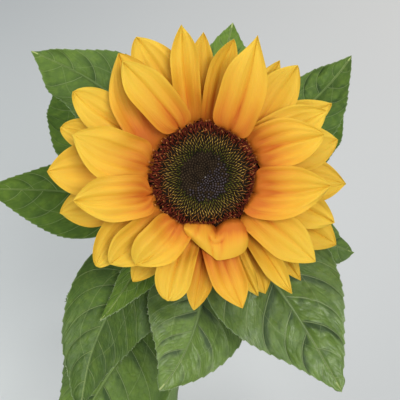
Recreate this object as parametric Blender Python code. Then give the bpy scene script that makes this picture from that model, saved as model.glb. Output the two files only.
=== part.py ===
# A potted sunflower: pot, potting soil, stem with a nodding neck, green calyx and
# bracts, seed disc, a ring of ray petals in five overlapping rows, and the leaves.
# Metres, +Z up. The origin is the centre of the pot's flat underside, the front is -Y.

from collections import namedtuple
from math import cos, pi, radians, sin

import bpy
import numpy as np

MM = 0.001
GAP = 0.3 * MM                      # clearance between pieces that touch on the real plant

# Pot and soil
POT_HEIGHT = 120 * MM
POT_FOOT_RADIUS = 47 * MM
POT_TOP_RADIUS = 63 * MM
POT_WALL = 4 * MM
POT_FLOOR = 6 * MM
COLLAR_HEIGHT = 26 * MM
COLLAR_STANDOUT = 4 * MM
SOIL_TOP = 106 * MM
POT_SEGMENTS = 48

# Flower head: its centre, how steeply it looks up, and its disc
HEAD_CENTRE = np.array((26 * MM, -35 * MM, 470 * MM))
HEAD_RISE = radians(45)
DISC_RADIUS = 23.4 * MM
DISC_CROWN = 5.6 * MM
DISC_DIP = 2.0 * MM
CALYX_DEPTH = 22 * MM
CALYX_RADIUS = 27.6 * MM
CALYX_TOP_DEPTH = 0.7 * MM          # how far the calyx's top lies under the head's plane
HEAD_SEGMENTS = 40

# The head's own axes: to its right, to its top, and out of its face
HEAD_RIGHT = np.array((1.0, 0.0, 0.0))
HEAD_UP = np.array((0.0, sin(HEAD_RISE), cos(HEAD_RISE)))
HEAD_FACING = np.array((0.0, -cos(HEAD_RISE), sin(HEAD_RISE)))
HEAD_AXES = (HEAD_RIGHT, HEAD_UP, HEAD_FACING)
POT_AXES = (np.array((1.0, 0.0, 0.0)), np.array((0.0, 1.0, 0.0)), np.array((0.0, 0.0, 1.0)))

# Stem, from the soil to the calyx
STEM_FOOT_RADIUS = 6.0 * MM
STEM_TOP_RADIUS = 4.4 * MM
STEM_FOOT = SOIL_TOP + GAP
NECK_REACH = 75 * MM                # how far the bend of the neck reaches below the calyx
STEM_LEAN = np.array((0.0, 4 * MM, 222 * MM))
STEM_STATIONS = 20
STEM_SIDES = 12

# Ray petals: rows run from 0, the innermost, which stands up and arches over the
# disc's edge, to 4, the outermost, which lies flat.
ROW_SEAT_RADIUS = 24.0 * MM
ROW_SEAT_STEP = 1.0 * MM
ROW_SEAT_DROP = 1.3 * MM
SEAT_DEPTH = 0.4 * MM
ROW_START_SLOPE = (96, 76, 58, 38, 18)     # degrees from the head's plane, at the seat
ROW_END_SLOPE = (8, 4, 0, -4, -9)          # degrees, out in the blade
ARCH_LENGTH = 9 * MM                # how soon a petal bends over from one to the other
PETAL_CLAW = 1.3 * MM               # half-width where a petal is seated
PETAL_THICKNESS = 0.8 * MM
PETAL_FULLNESS = 0.7                # power of the sine that gives the outline: lower is rounder
PETAL_CLAW_FADE = 6                 # how fast the seat's width gives way to the blade's
PETAL_STATIONS = 8

# angle: degrees clockwise from the head's top, at the tip; lean: how much further
# round the seat is; belly: above 1 where the widest place is nearer the tip.
Petal = namedtuple("Petal", "angle reach width row lean belly")
PETALS = (
    Petal(-8.6, 73.0, 13.5, 2, -5, 1.4),
    Petal(-0.5, 69.7, 12.6, 3, -2, 1.3),
    Petal(12.1, 66.7, 12.6, 2, -5, 1.5),
    Petal(20.7, 69.9, 22.2, 0, 8, 1.2),
    Petal(33.0, 67.8, 12.6, 4, 0, 1.3),
    Petal(40.0, 70.1, 20.3, 3, 8, 1.3),
    Petal(60.0, 71.8, 16.4, 4, -3, 1.3),
    Petal(62.0, 66.3, 20.3, 2, -4, 1.2),
    Petal(71.0, 59.9, 24.1, 1, -7, 1.0),
    Petal(74.5, 66.8, 21.3, 3, 0, 1.5),
    Petal(93.0, 69.2, 21.3, 4, -1, 1.5),
    Petal(94.5, 59.3, 27.0, 0, 14, 0.9),
    Petal(109.6, 65.9, 19.3, 2, -2, 1.3),
    Petal(117.0, 72.6, 20.6, 4, -2, 1.5),
    Petal(127.7, 66.2, 20.3, 1, -3, 1.2),
    Petal(137.0, 69.1, 11.6, 4, -2, 1.3),
    Petal(143.3, 69.8, 12.4, 2, -4, 1.2),
    Petal(152.5, 63.8, 14.5, 3, -6, 1.5),
    Petal(155.7, 62.2, 8.2, 2, 0, 1.2),
    Petal(164.0, 64.9, 18.4, 1, 4, 1.5),
    Petal(171.0, 38.9, 29.0, 0, 0, 0.7),
    Petal(184.0, 63.7, 11.6, 2, -4, 1.4),
    Petal(195.0, 60.7, 17.4, 1, 4, 1.7),
    Petal(214.5, 62.0, 13.5, 4, -5, 1.5),
    Petal(218.0, 52.7, 21.3, 0, -8, 1.2),
    Petal(227.0, 61.1, 19.3, 1, -4, 1.3),
    Petal(230.5, 67.4, 17.4, 2, 14, 1.3),
    Petal(256.0, 73.1, 21.3, 4, -2, 1.5),
    Petal(259.2, 62.2, 22.2, 0, -8, 1.1),
    Petal(272.0, 76.0, 26.1, 3, 2, 1.6),
    Petal(287.2, 65.1, 26.1, 1, -7, 1.1),
    Petal(289.0, 74.7, 16.4, 4, 0, 1.6),
    Petal(303.0, 75.6, 20.3, 3, -2, 1.5),
    Petal(324.2, 65.4, 19.3, 0, 8, 1.2),
    Petal(325.0, 71.6, 26.1, 2, -17, 1.3),
    Petal(334.0, 75.1, 22.2, 3, 9, 1.4),
)

# Bracts behind the petals
BRACT_COUNT = 16
BRACT_SEAT_RADIUS = 24.6 * MM
BRACT_NOTCH_RADIUS = 30 * MM
BRACT_TIP_RADIUS = 44 * MM
BRACT_SEAT_DEPTH = 10.2 * MM
BRACT_TIP_DEPTH = 15 * MM
BRACT_THICKNESS = 1.2 * MM
COLUMNS_PER_BRACT = 4

# Leaves. seat: height on the stem; angle: degrees round the stem from the front (-Y)
# towards +X; rise, droop: degrees above level at the seat and at the tip; swing:
# sideways bend to the tip; roll: twist of the blade about its midrib.
Leaf = namedtuple("Leaf", "name seat angle rise droop petiole blade width swing roll")
LEAVES = (
    Leaf("leaf_upper_left", 432, -135, 27, -2, 34, 92, 57, 12, 20),
    Leaf("leaf_upper_back", 420, 168, 44, 15, 29, 74, 48, 0, 2),
    Leaf("leaf_upper_right", 423, 124, 19, 3, 35, 89, 46, 29, -20),
    Leaf("leaf_small_front", 408, -30, 11, -30, 29, 55, 23, -14, 0),
    Leaf("leaf_front_right", 405, 30, 23, -40, 40, 96, 66, 10, -21),
    Leaf("leaf_right", 398, 73, 10, -17, 31, 59, 55, 5, -13),
    Leaf("leaf_left", 394, -103, 12, -9, 30, 88, 49, 5, 26),
    Leaf("leaf_front", 388, 12, -3, -21, 28, 73, 57, -58, 18),
    Leaf("leaf_back_right", 384, 121, 8, 4, 33, 94, 35, 27, 19),
    Leaf("leaf_back_left", 376, -139, 25, -12, 35, 84, 64, -9, -8),
    Leaf("leaf_front_left", 375, -38, 27, -40, 38, 89, 54, 30, 45),
    Leaf("leaf_low_front", 328, -34, 4, -52, 30, 97, 76, -9, 0),
    Leaf("leaf_low_right", 300, 130, 5, -40, 45, 105, 76, 0, 0),
    Leaf("leaf_low_left", 268, -150, 5, -45, 43, 108, 78, 0, 0),
    Leaf("leaf_low_back", 236, 172, 5, -45, 45, 108, 78, 0, 0),
    Leaf("leaf_foot_right", 205, 75, 0, -50, 45, 104, 76, 0, 0),
    Leaf("leaf_foot_left", 196, -52, 5, -48, 45, 102, 76, 0, 0),
    Leaf("leaf_foot_back", 172, -152, 10, -45, 40, 92, 68, 0, 0),
)
LEAF_FOLD = radians(12)             # how far the two halves of a blade rise from its midrib
PETIOLE_RADIUS = 1.6 * MM
SEAT_CLEARANCE = 0.5 * MM           # a little over GAP, because the stem leans
BLADE_THICKNESS = 1.5 * MM
LEAF_BELLY = 0.62                   # below 1, so that a blade is widest nearer its petiole
LEAF_FULLNESS = 0.95
LEAF_SWING_POWER = 1.5
LEAF_ROLLED_BY = 0.6                # share of the length over which the roll comes in
PETIOLE_FADE = 0.12                 # shares of the blade over which the petiole flattens
FOLD_FADE = 0.15                    # and the fold comes in
TIP_FADE = 0.2                      # and, at its end, the blade thins to half
PETIOLE_STATIONS = 3
BLADE_STATIONS = 12

# Outlines across a leaf and a petal, closed: shares of the half-width and half-thickness
LEAF_ACROSS = np.array((-1, -0.6, -0.25, 0, 0.25, 0.6, 1, 0.6, 0, -0.6))
LEAF_LAYER = np.array((0, 0.6, 0.9, 1, 0.9, 0.6, 0, -0.6, -1, -0.6))
PETAL_ACROSS = np.array((-1, -0.5, 0, 0.5, 1, 0.5, 0, -0.5))
PETAL_LAYER = np.array((0, 0.75, 1, 0.75, 0, -0.75, -1, -0.75))
EDGE_WIDTH = 0.25 * MM              # half-width left at the cut tip of a leaf or petal
FINE_STEPS = 200                    # steps along a midline before it is read at its stations


def clear_scene():
    for item in list(bpy.data.objects):
        bpy.data.objects.remove(item, do_unlink=True)


def make_material(name, colour, roughness, metallic=0.0):
    material = bpy.data.materials.new(name)
    material.use_nodes = True
    shader = material.node_tree.nodes["Principled BSDF"]
    shader.inputs["Base Color"].default_value = (*colour, 1.0)
    shader.inputs["Roughness"].default_value = roughness
    shader.inputs["Metallic"].default_value = metallic
    material.diffuse_color = (*colour, 1.0)
    return material


def add_object(name, points, faces, material):
    mesh = bpy.data.meshes.new(name)
    mesh.from_pydata([tuple(point) for point in points], [], faces)
    mesh.polygons.foreach_set("use_smooth", [True] * len(mesh.polygons))
    mesh.materials.append(material)
    mesh.update()
    item = bpy.data.objects.new(name, mesh)
    bpy.context.collection.objects.link(item)
    return item


def smooth_step(value):
    value = np.clip(value, 0.0, 1.0)
    return value * value * (3 - 2 * value)


def running_sum(values):
    """The integral of evenly spaced values from 0 to 1, at each of them."""
    steps = (values[1:] + values[:-1]) / 2
    return np.concatenate((np.zeros_like(values[:1]), np.cumsum(steps, axis=0))) / len(steps)


def loft(name, rings, material):
    """A closed solid through rings of points, capped flat at its first and last ring."""
    stations, sides, _ = rings.shape
    faces = []
    for row in range(stations - 1):
        for side in range(sides):
            here = row * sides + side
            beside = row * sides + (side + 1) % sides
            faces.append((here, beside, beside + sides, here + sides))
    last = (stations - 1) * sides
    faces.append(tuple(reversed(range(sides))))
    faces.append(tuple(range(last, last + sides)))
    return add_object(name, rings.reshape(-1, 3), faces, material)


def turned(name, profile, segments, material, centre, across, up, axis):
    """A solid of revolution. profile runs from the axis, round the outside, to the axis."""
    middle = profile[1:-1]
    angles = np.linspace(0, 2 * pi, segments, endpoint=False)
    around = np.cos(angles)[:, None] * across + np.sin(angles)[:, None] * up
    points = [centre + profile[0][1] * axis]
    for radius, height in middle:
        points.extend(centre + radius * around + height * axis)
    points.append(centre + profile[-1][1] * axis)
    faces = []
    top = len(points) - 1
    last = 1 + (len(middle) - 1) * segments
    for step in range(segments):
        after = (step + 1) % segments
        faces.append((0, 1 + after, 1 + step))
        faces.append((top, last + step, last + after))
        for ring in range(len(middle) - 1):
            low = 1 + ring * segments
            high = low + segments
            faces.append((low + step, low + after, high + after, high + step))
    return add_object(name, points, faces, material)


# ---- pot and soil

def wall_radius(height):
    return POT_FOOT_RADIUS + (POT_TOP_RADIUS - POT_FOOT_RADIUS) * height / POT_HEIGHT


def build_pot(material):
    collar_foot = POT_HEIGHT - COLLAR_HEIGHT
    edge = 1.5 * MM
    rim = wall_radius(POT_HEIGHT) + COLLAR_STANDOUT
    profile = [
        (0.0, 0.0),
        (POT_FOOT_RADIUS - edge, 0.0),
        (POT_FOOT_RADIUS, edge),
        (wall_radius(collar_foot), collar_foot),
        (wall_radius(collar_foot) + COLLAR_STANDOUT - edge, collar_foot),
        (wall_radius(collar_foot) + COLLAR_STANDOUT, collar_foot + edge),
        (rim, POT_HEIGHT - edge),
        (rim - edge, POT_HEIGHT),
        (wall_radius(POT_HEIGHT) - POT_WALL + edge, POT_HEIGHT),
        (wall_radius(POT_HEIGHT) - POT_WALL, POT_HEIGHT - edge),
        (wall_radius(POT_FLOOR) - POT_WALL, POT_FLOOR),
        (0.0, POT_FLOOR),
    ]
    turned("pot", profile, POT_SEGMENTS, material, np.zeros(3), *POT_AXES)


def build_soil(material):
    floor = POT_FLOOR + GAP
    profile = [
        (0.0, floor),
        (wall_radius(floor) - POT_WALL - 2 * GAP, floor),
        (wall_radius(SOIL_TOP) - POT_WALL - 2 * GAP, SOIL_TOP),
        (0.0, SOIL_TOP),
    ]
    turned("soil", profile, POT_SEGMENTS, material, np.zeros(3), *POT_AXES)


# ---- stem

def stem_points(along):
    """Points on the stem's centre line: a cubic from the soil up and over into the calyx."""
    foot = np.array((0.0, 0.0, STEM_FOOT))
    top = HEAD_CENTRE - CALYX_DEPTH * HEAD_FACING
    rising = foot + STEM_LEAN
    bending = top - NECK_REACH * HEAD_FACING
    t = np.asarray(along, dtype=float)[..., None]
    return ((1 - t) ** 3 * foot + 3 * (1 - t) ** 2 * t * rising
            + 3 * (1 - t) * t ** 2 * bending + t ** 3 * top)


def stem_radius(along):
    return STEM_FOOT_RADIUS + (STEM_TOP_RADIUS - STEM_FOOT_RADIUS) * along


def stem_place(height):
    """The stem's centre and radius at a height above the table."""
    along = np.linspace(0, 1, 801)
    heights = stem_points(along)[:, 2]
    found = np.interp(height, heights, along)
    return stem_points(found), stem_radius(found)


def build_stem(material):
    along = np.linspace(0, 1, STEM_STATIONS)
    centres = stem_points(along)
    steps = np.gradient(centres, axis=0)
    tangents = steps / np.linalg.norm(steps, axis=1)[:, None]
    tangents[0] = (0, 0, 1)
    tangents[-1] = HEAD_FACING
    rings = []
    for centre, tangent, part in zip(centres, tangents, along):
        side = np.cross((0.0, 1.0, 0.0), tangent)
        side = side / np.linalg.norm(side)
        front = np.cross(tangent, side)
        angles = np.linspace(0, 2 * pi, STEM_SIDES, endpoint=False)
        ring = np.cos(angles)[:, None] * side + np.sin(angles)[:, None] * front
        rings.append(centre + stem_radius(part) * ring)
    loft("stem", np.array(rings), material)


# ---- head: calyx, bracts, disc and petals

def build_calyx(material):
    seat_top = (ROW_SEAT_RADIUS - 0.4 * MM, -CALYX_TOP_DEPTH)
    seat_foot = (CALYX_RADIUS, -CALYX_TOP_DEPTH - len(ROW_START_SLOPE) * 1.04 * MM)
    profile = [
        (0.0, -CALYX_DEPTH + GAP),
        (STEM_TOP_RADIUS + GAP, -CALYX_DEPTH + GAP),
        (7.5 * MM, -19.0 * MM),
        (13.5 * MM, -15.6 * MM),
        (20.0 * MM, -12.4 * MM),
        (24.0 * MM, -9.6 * MM),
        (CALYX_RADIUS - 0.6 * MM, -7.0 * MM),
        seat_foot,
        seat_top,
        (0.0, -CALYX_TOP_DEPTH),
    ]
    turned("calyx", profile, HEAD_SEGMENTS, material, HEAD_CENTRE, *HEAD_AXES)


def build_disc(material):
    floor = GAP - CALYX_TOP_DEPTH
    profile = [
        (0.0, floor),
        (DISC_RADIUS, floor),
        (DISC_RADIUS, 0.34 * DISC_CROWN),
        (0.95 * DISC_RADIUS, 0.84 * DISC_CROWN),
        (0.83 * DISC_RADIUS, DISC_CROWN),
        (0.50 * DISC_RADIUS, DISC_CROWN - 0.5 * DISC_DIP),
        (0.0, DISC_CROWN - DISC_DIP),
    ]
    turned("disc", profile, HEAD_SEGMENTS, material, HEAD_CENTRE, *HEAD_AXES)


def on_head(radius, angle, height):
    """Places on the head: radius and clockwise angle in its plane, height towards its front."""
    radius, angle, height = np.broadcast_arrays(radius, angle, height)
    return (HEAD_CENTRE + (np.sin(angle) * radius)[..., None] * HEAD_RIGHT
            + (np.cos(angle) * radius)[..., None] * HEAD_UP
            + height[..., None] * HEAD_FACING)


def build_bracts(material):
    """A green star of pointed bracts that cups the back of the petals, as one closed solid."""
    columns = BRACT_COUNT * COLUMNS_PER_BRACT
    angles = np.arange(columns) * 2 * pi / columns
    wave = np.abs((np.arange(columns) % COLUMNS_PER_BRACT) / (COLUMNS_PER_BRACT / 2) - 1)
    tips = BRACT_NOTCH_RADIUS + (BRACT_TIP_RADIUS - BRACT_NOTCH_RADIUS) * wave ** 1.4
    half = BRACT_THICKNESS / 2
    rings = []
    for share, side in ((0, 1), (0.35, 1), (1, 0), (0.35, -1), (0, -1)):
        radius = BRACT_SEAT_RADIUS + share * (tips - BRACT_SEAT_RADIUS)
        fall = (radius - BRACT_SEAT_RADIUS) / (BRACT_TIP_RADIUS - BRACT_SEAT_RADIUS)
        depth = BRACT_SEAT_DEPTH + (BRACT_TIP_DEPTH - BRACT_SEAT_DEPTH) * fall
        rings.append(on_head(radius, angles, side * half - depth))
    points = np.array(rings).reshape(-1, 3)
    faces = []
    for ring in range(len(rings)):
        following = (ring + 1) % len(rings)
        for column in range(columns):
            after = (column + 1) % columns
            faces.append((ring * columns + column, ring * columns + after,
                          following * columns + after, following * columns + column))
    add_object("bracts", points, faces, material)


def petal_midline(petal):
    """Radius, height and slope along a petal's middle, stepped out from its seat."""
    reach = petal.reach * MM
    seat = ROW_SEAT_RADIUS + ROW_SEAT_STEP * petal.row
    start = radians(ROW_START_SLOPE[petal.row])
    end = radians(ROW_END_SLOPE[petal.row])
    share = np.linspace(0, 1, FINE_STEPS + 1)
    length = reach - seat
    for _ in range(6):              # the length whose arch ends at the petal's reach
        slope = end + (start - end) * np.exp(-share * length / ARCH_LENGTH)
        outward = running_sum(np.cos(slope))
        length = (reach - seat) / outward[-1]
    upward = running_sum(np.sin(slope))
    stations = np.linspace(0, 1, PETAL_STATIONS) ** 0.9
    radius = seat + length * np.interp(stations, share, outward)
    height = length * np.interp(stations, share, upward) - SEAT_DEPTH - ROW_SEAT_DROP * petal.row
    return stations, radius, height, np.interp(stations, share, slope)


def build_petal(name, petal, material):
    stations, radius, height, slope = petal_midline(petal)
    seat = radius[0]
    progress = np.clip((radius - seat) / (petal.reach * MM - seat), 0, 1)
    half_width = (petal.width * MM / 2 * np.sin(pi * progress ** petal.belly) ** PETAL_FULLNESS
                  + PETAL_CLAW * (1 - stations) ** PETAL_CLAW_FADE + EDGE_WIDTH)
    middle = np.radians(petal.angle + petal.lean * (1 - progress))
    half_thick = PETAL_THICKNESS / 2 * (0.55 + 0.45 * smooth_step(stations / 0.2))
    angle = middle[:, None] + (half_width / radius)[:, None] * PETAL_ACROSS
    offset = half_thick[:, None] * PETAL_LAYER
    rings = on_head(radius[:, None] - np.sin(slope)[:, None] * offset, angle,
                    height[:, None] + np.cos(slope)[:, None] * offset)
    loft(name, rings, material)


# ---- leaves

def leaf_midline(leaf):
    """Points, outward, sideways and upward directions from a petiole's seat to the tip."""
    centre, radius = stem_place(leaf.seat * MM)
    length = (leaf.petiole + leaf.blade) * MM
    share = np.linspace(0, 1, FINE_STEPS + 1)
    rise = np.radians(leaf.rise + (leaf.droop - leaf.rise) * smooth_step(share))
    turn = np.radians(leaf.angle + leaf.swing * share ** LEAF_SWING_POWER)
    outward = np.stack((np.cos(rise) * np.sin(turn), -np.cos(rise) * np.cos(turn),
                        np.sin(rise)), axis=-1)
    level = np.stack((np.sin(turn[0]), -np.cos(turn[0]), 0.0))
    clear = radius + SEAT_CLEARANCE + PETIOLE_RADIUS * abs(sin(rise[0]))
    points = centre + clear * level + running_sum(outward) * length
    side = np.stack((np.cos(turn), np.sin(turn), np.zeros_like(turn)), axis=-1)
    upward = np.cross(side, outward)
    roll = np.radians(leaf.roll) * smooth_step(share / LEAF_ROLLED_BY)
    sideways = side * np.cos(roll)[:, None] + upward * np.sin(roll)[:, None]
    lifted = upward * np.cos(roll)[:, None] - side * np.sin(roll)[:, None]
    return share, points, sideways, lifted


def build_leaf(leaf, material):
    """One solid: a round petiole that widens into a thin blade, pointed at its tip."""
    share, points, sideways, upward = leaf_midline(leaf)
    neck = leaf.petiole / (leaf.petiole + leaf.blade)
    stations = np.concatenate((np.linspace(0, neck, PETIOLE_STATIONS, endpoint=False),
                               np.linspace(neck, 1, BLADE_STATIONS)))
    blade = np.clip((stations - neck) / (1 - neck), 0, 1)
    half_width = (leaf.width * MM / 2 * np.sin(pi * blade ** LEAF_BELLY) ** LEAF_FULLNESS
                  + PETIOLE_RADIUS * (1 - blade) ** 3 + EDGE_WIDTH)
    half_thick = (BLADE_THICKNESS / 2
                  + (PETIOLE_RADIUS - BLADE_THICKNESS / 2) * (1 - smooth_step(blade / PETIOLE_FADE)))
    half_thick = half_thick * (1 - 0.5 * smooth_step((blade - 1 + TIP_FADE) / TIP_FADE))
    fold = LEAF_FOLD * smooth_step(blade / FOLD_FADE)
    rings = []
    for place, width, thick, angle in zip(stations, half_width, half_thick, fold):
        centre, side, lift = (
            np.array([np.interp(place, share, line[:, axis]) for axis in range(3)])
            for line in (points, sideways, upward))
        reach = LEAF_ACROSS[:, None] * width
        rings.append(centre + side * reach * cos(angle)
                     + lift * (np.abs(reach) * sin(angle) + LEAF_LAYER[:, None] * thick))
    loft(leaf.name, np.array(rings), material)


def build_all():
    clear_scene()
    build_pot(make_material("terracotta", (0.56, 0.27, 0.17), 0.8))
    build_soil(make_material("potting_soil", (0.07, 0.045, 0.03), 0.95))
    build_stem(make_material("stem_green", (0.20, 0.32, 0.10), 0.6))
    build_calyx(make_material("calyx_green", (0.18, 0.30, 0.09), 0.65))
    build_bracts(make_material("bract_green", (0.20, 0.34, 0.10), 0.65))
    build_disc(make_material("disc_brown", (0.09, 0.05, 0.03), 0.85))
    for number, petal in enumerate(PETALS, start=1):
        name = f"petal_{number:02d}"
        build_petal(name, petal, make_material(name, (0.92, 0.55, 0.05), 0.55))
    for leaf in LEAVES:
        build_leaf(leaf, make_material(leaf.name, (0.12, 0.26, 0.06), 0.5))


build_all()
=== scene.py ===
import bpy
import numpy as np
from numpy import arange, array, clip, concatenate as join, cos, cross, exp, linspace, pi, radians, sin
from numpy.random import default_rng
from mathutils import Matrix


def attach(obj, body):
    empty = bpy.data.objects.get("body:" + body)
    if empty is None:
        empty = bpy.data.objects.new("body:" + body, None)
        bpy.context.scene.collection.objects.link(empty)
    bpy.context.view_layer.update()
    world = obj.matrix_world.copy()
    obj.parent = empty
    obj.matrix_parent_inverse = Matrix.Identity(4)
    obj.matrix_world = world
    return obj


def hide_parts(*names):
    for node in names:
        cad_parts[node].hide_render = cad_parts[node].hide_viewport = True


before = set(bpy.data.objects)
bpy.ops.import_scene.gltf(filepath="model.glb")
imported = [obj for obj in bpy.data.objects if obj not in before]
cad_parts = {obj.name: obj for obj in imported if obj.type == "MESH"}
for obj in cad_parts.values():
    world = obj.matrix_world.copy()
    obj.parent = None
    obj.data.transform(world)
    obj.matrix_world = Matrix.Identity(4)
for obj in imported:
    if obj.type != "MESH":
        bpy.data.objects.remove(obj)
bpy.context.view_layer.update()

# Potted sunflower in metres, +Z up, front towards -Y. The head looks up at 45 degrees
# towards the front. Every piece is worked out as whole arrays; the main ones replace the solids.

mm = 0.001
golden = radians(137.50776)          # turn from one floret to the next
worldUp = array((0.0, 0.0, 1.0))


# small tools

def smoothStep(value):               # 3 v^2 - 2 v^3, held at 0 below 0 and at 1 above 1
    value = clip(value, 0.0, 1.0)
    return value * value * (3 - 2 * value)


def bell(value, width=1.0):          # 1 at nought, falling as exp(-(value / width)^2)
    return exp(-(value / width) ** 2)


def runningSum(values):              # integral of evenly spaced values from 0 to 1
    steps = (values[1:] + values[:-1]) / 2
    return join((np.zeros_like(values[:1]), np.cumsum(steps, axis=0))) / len(steps)


def unit(arrows):                    # each arrow divided by its own length
    return arrows / np.maximum(np.linalg.norm(arrows, axis=-1, keepdims=True), 1e-12)


def ripple(x, y, seed, waves=5):
    # smooth uneven field in -1..1: the mean of a few sines of seeded direction, pace and shift
    rng = default_rng(seed)
    turn, pace, shift = (rng.uniform(*ends, waves) for ends in ((0, 2 * pi), (0.6, 1.7), (0, 2 * pi)))
    total = 0.0
    for angle, rate, phase in zip(turn, pace, shift):
        total = total + sin(2 * pi * rate * (cos(angle) * x + sin(angle) * y) + phase)
    return total / waves ** 0.75


def vectors(*parts):                 # numbers or arrays side by side, as the last axis
    return np.stack(np.broadcast_arrays(*parts), axis=-1)


def circle(sides):                   # even angles round a circle
    return arange(sides) * 2 * pi / sides


def gridFaces(rows, columns, closedRound=False):
    # quads of a grid of points stored row by row; closedRound joins the last column to the first
    row = arange(rows - 1)[:, None] * columns
    column = arange(columns if closedRound else columns - 1)
    after = (column + 1) % columns
    below = row + columns
    return vectors(row + column, row + after, below + after, below + column).reshape(-1, 4)


def splitQuads(quads):               # two triangles for each quad
    return join((quads[:, [0, 1, 2]], quads[:, [0, 2, 3]]))


def capped(rings, ends):
    # a stack of rings (rows x sides x 3), closed by a fan of triangles to each of two end points
    rows, sides, _ = rings.shape
    here = arange(sides)
    after = (here + 1) % sides
    first, last = rows * sides, (rows - 1) * sides
    fans = join((vectors(first, after, here), vectors(first + 1, last + here, last + after)))
    return join((rings.reshape(-1, 3), ends)), gridFaces(rows, sides, True), fans


def makeObject(name, material, points, quads=(), triangles=(), smooth=True, crisp=None):
    # a mesh filled from whole arrays; edges that bend by more than crisp degrees stay sharp
    kinds = [np.asarray(faces, dtype=np.int32) for faces in (quads, triangles) if len(faces)]
    corners = join([np.full(len(faces), faces.shape[1], dtype=np.int32) for faces in kinds])
    mesh = bpy.data.meshes.new(name)
    mesh.vertices.add(len(points))
    mesh.vertices.foreach_set("co", np.asarray(points, dtype=np.float32).ravel())
    mesh.loops.add(int(corners.sum()))
    mesh.loops.foreach_set("vertex_index", join([faces.ravel() for faces in kinds]))
    mesh.polygons.add(len(corners))
    mesh.polygons.foreach_set("loop_start", (np.cumsum(corners) - corners).astype(np.int32))
    mesh.polygons.foreach_set("use_smooth", np.full(len(corners), smooth))
    mesh.update(calc_edges=True)
    mesh.validate()
    if crisp:
        mesh.set_sharp_from_angle(angle=radians(crisp))
    mesh.materials.append(material)
    made = bpy.data.objects.new(name, mesh)
    bpy.context.scene.collection.objects.link(made)
    return made


def makePiece(name, slot, material, points, quads=(), triangles=(), replaced=(), **finish):
    # a piece of the plant that takes the place of the named nodes; gives back its mesh
    piece = makeObject(name, material, points, quads, triangles, **finish)
    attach(piece, "root")
    if replaced:
        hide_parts(*replaced)
    return piece.data


def setAttribute(mesh, name, values):        # one number for each vertex, read by the materials
    layer = mesh.attributes.new(name, "FLOAT", "POINT")
    layer.data.foreach_set("value", np.asarray(values, dtype=np.float32).ravel())


def setUv(mesh, acrossAlong):        # one UV for each vertex, dealt to its corners
    corners = np.empty(len(mesh.loops), dtype=np.int32)
    mesh.loops.foreach_get("vertex_index", corners)
    layer = mesh.uv_layers.new(name="UVMap")
    layer.data.foreach_set("uv", np.asarray(acrossAlong, dtype=np.float32)[corners].ravel())


def sheetNormals(sheet):             # normals of a grid: along its columns crossed with its rows
    return unit(cross(np.gradient(sheet, axis=1), np.gradient(sheet, axis=0)))


def thinShell(sheet, halfThick):
    # closed skin of a sheet: the sheet moved out and in along its normals, joined round its
    # border. Returns points, quads and, for each point, 1 on the side against the normals.
    rows, columns, _ = sheet.shape
    count = rows * columns
    lift = sheetNormals(sheet) * (halfThick * np.ones((rows, columns)))[..., None]
    points = join(((sheet + lift).reshape(-1, 3), (sheet - lift).reshape(-1, 3)))
    faces = gridFaces(rows, columns)
    index = arange(count).reshape(rows, columns)
    border = join((index[0, :-1], index[:-1, -1], index[-1, :0:-1], index[:0:-1, 0]))
    onward = np.roll(border, -1)
    rim = vectors(border, border + count, onward + count, onward)
    return points, join((faces, faces[:, ::-1] + count, rim)), arange(2 * count) // count


def tube(path, radius, sides, up):
    # closed tube: circles of the given radii across a path, with a middle point at each end.
    # radius is one number for each station, or stations x sides
    tangent = unit(np.gradient(path, axis=0))
    across = unit(cross(up, tangent))
    angle = circle(sides)[:, None]
    ring = cos(angle) * across[:, None] + sin(angle) * cross(tangent, across)[:, None]
    radius = np.asarray(radius).reshape(len(path), -1, 1)
    return capped(path[:, None] + radius * ring, path[[0, -1]])


def turned(profile, sides, relief=None, centre=np.zeros(3), axes=np.eye(3)):
    # surface of revolution of a profile of (radius, height) from the axis round to the axis;
    # relief changes radius and height by the angle
    angle = circle(sides)
    radius, height = np.asarray(profile).T[..., None] * np.ones(sides)
    if relief:
        radius, height = relief(radius, height, angle)
    rings = centre + vectors(radius * cos(angle), radius * sin(angle), height) @ axes
    return capped(rings[1:-1], rings[[0, -1]].mean(axis=1))


def roundedProfile(corners, radius, step, turns=5):
    # each inner corner gives way to a small quadratic curve that starts and ends radius away;
    # then points go in, so that no two are more than step apart
    share = linspace(0, 1, turns)[:, None]
    curves = [corners[:1]]
    for before, corner, after in zip(corners[:-2], corners[1:-1], corners[2:]):
        start, end = (corner + unit(other - corner) * min(radius, 0.45 * np.linalg.norm(other - corner))
                      for other in (before, after))
        curves.append((1 - share) ** 2 * start + 2 * share * (1 - share) * corner + share ** 2 * end)
    points = join(curves + [corners[-1:]])
    pieces = []
    for start, end in zip(points[:-1], points[1:]):
        count = max(1, int(np.ceil(np.linalg.norm(end - start) / step)))
        pieces.append(start + (end - start) * linspace(0, 1, count, endpoint=False)[:, None])
    return join(pieces + [points[-1:]])


def scatter(shape, places, axes, sizes):
    # copies of one small shape (points, triangles), joined: each copy turned to its own three
    # axes (right, forward, up), scaled and moved to its place
    points, triangles = shape
    moved = np.einsum("cpk,ckx->cpx", points * sizes[:, None], axes) + places[:, None]
    faces = triangles + (arange(len(places)) * len(points))[:, None, None]
    return moved.reshape(-1, 3), faces.reshape(-1, 3)


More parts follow.
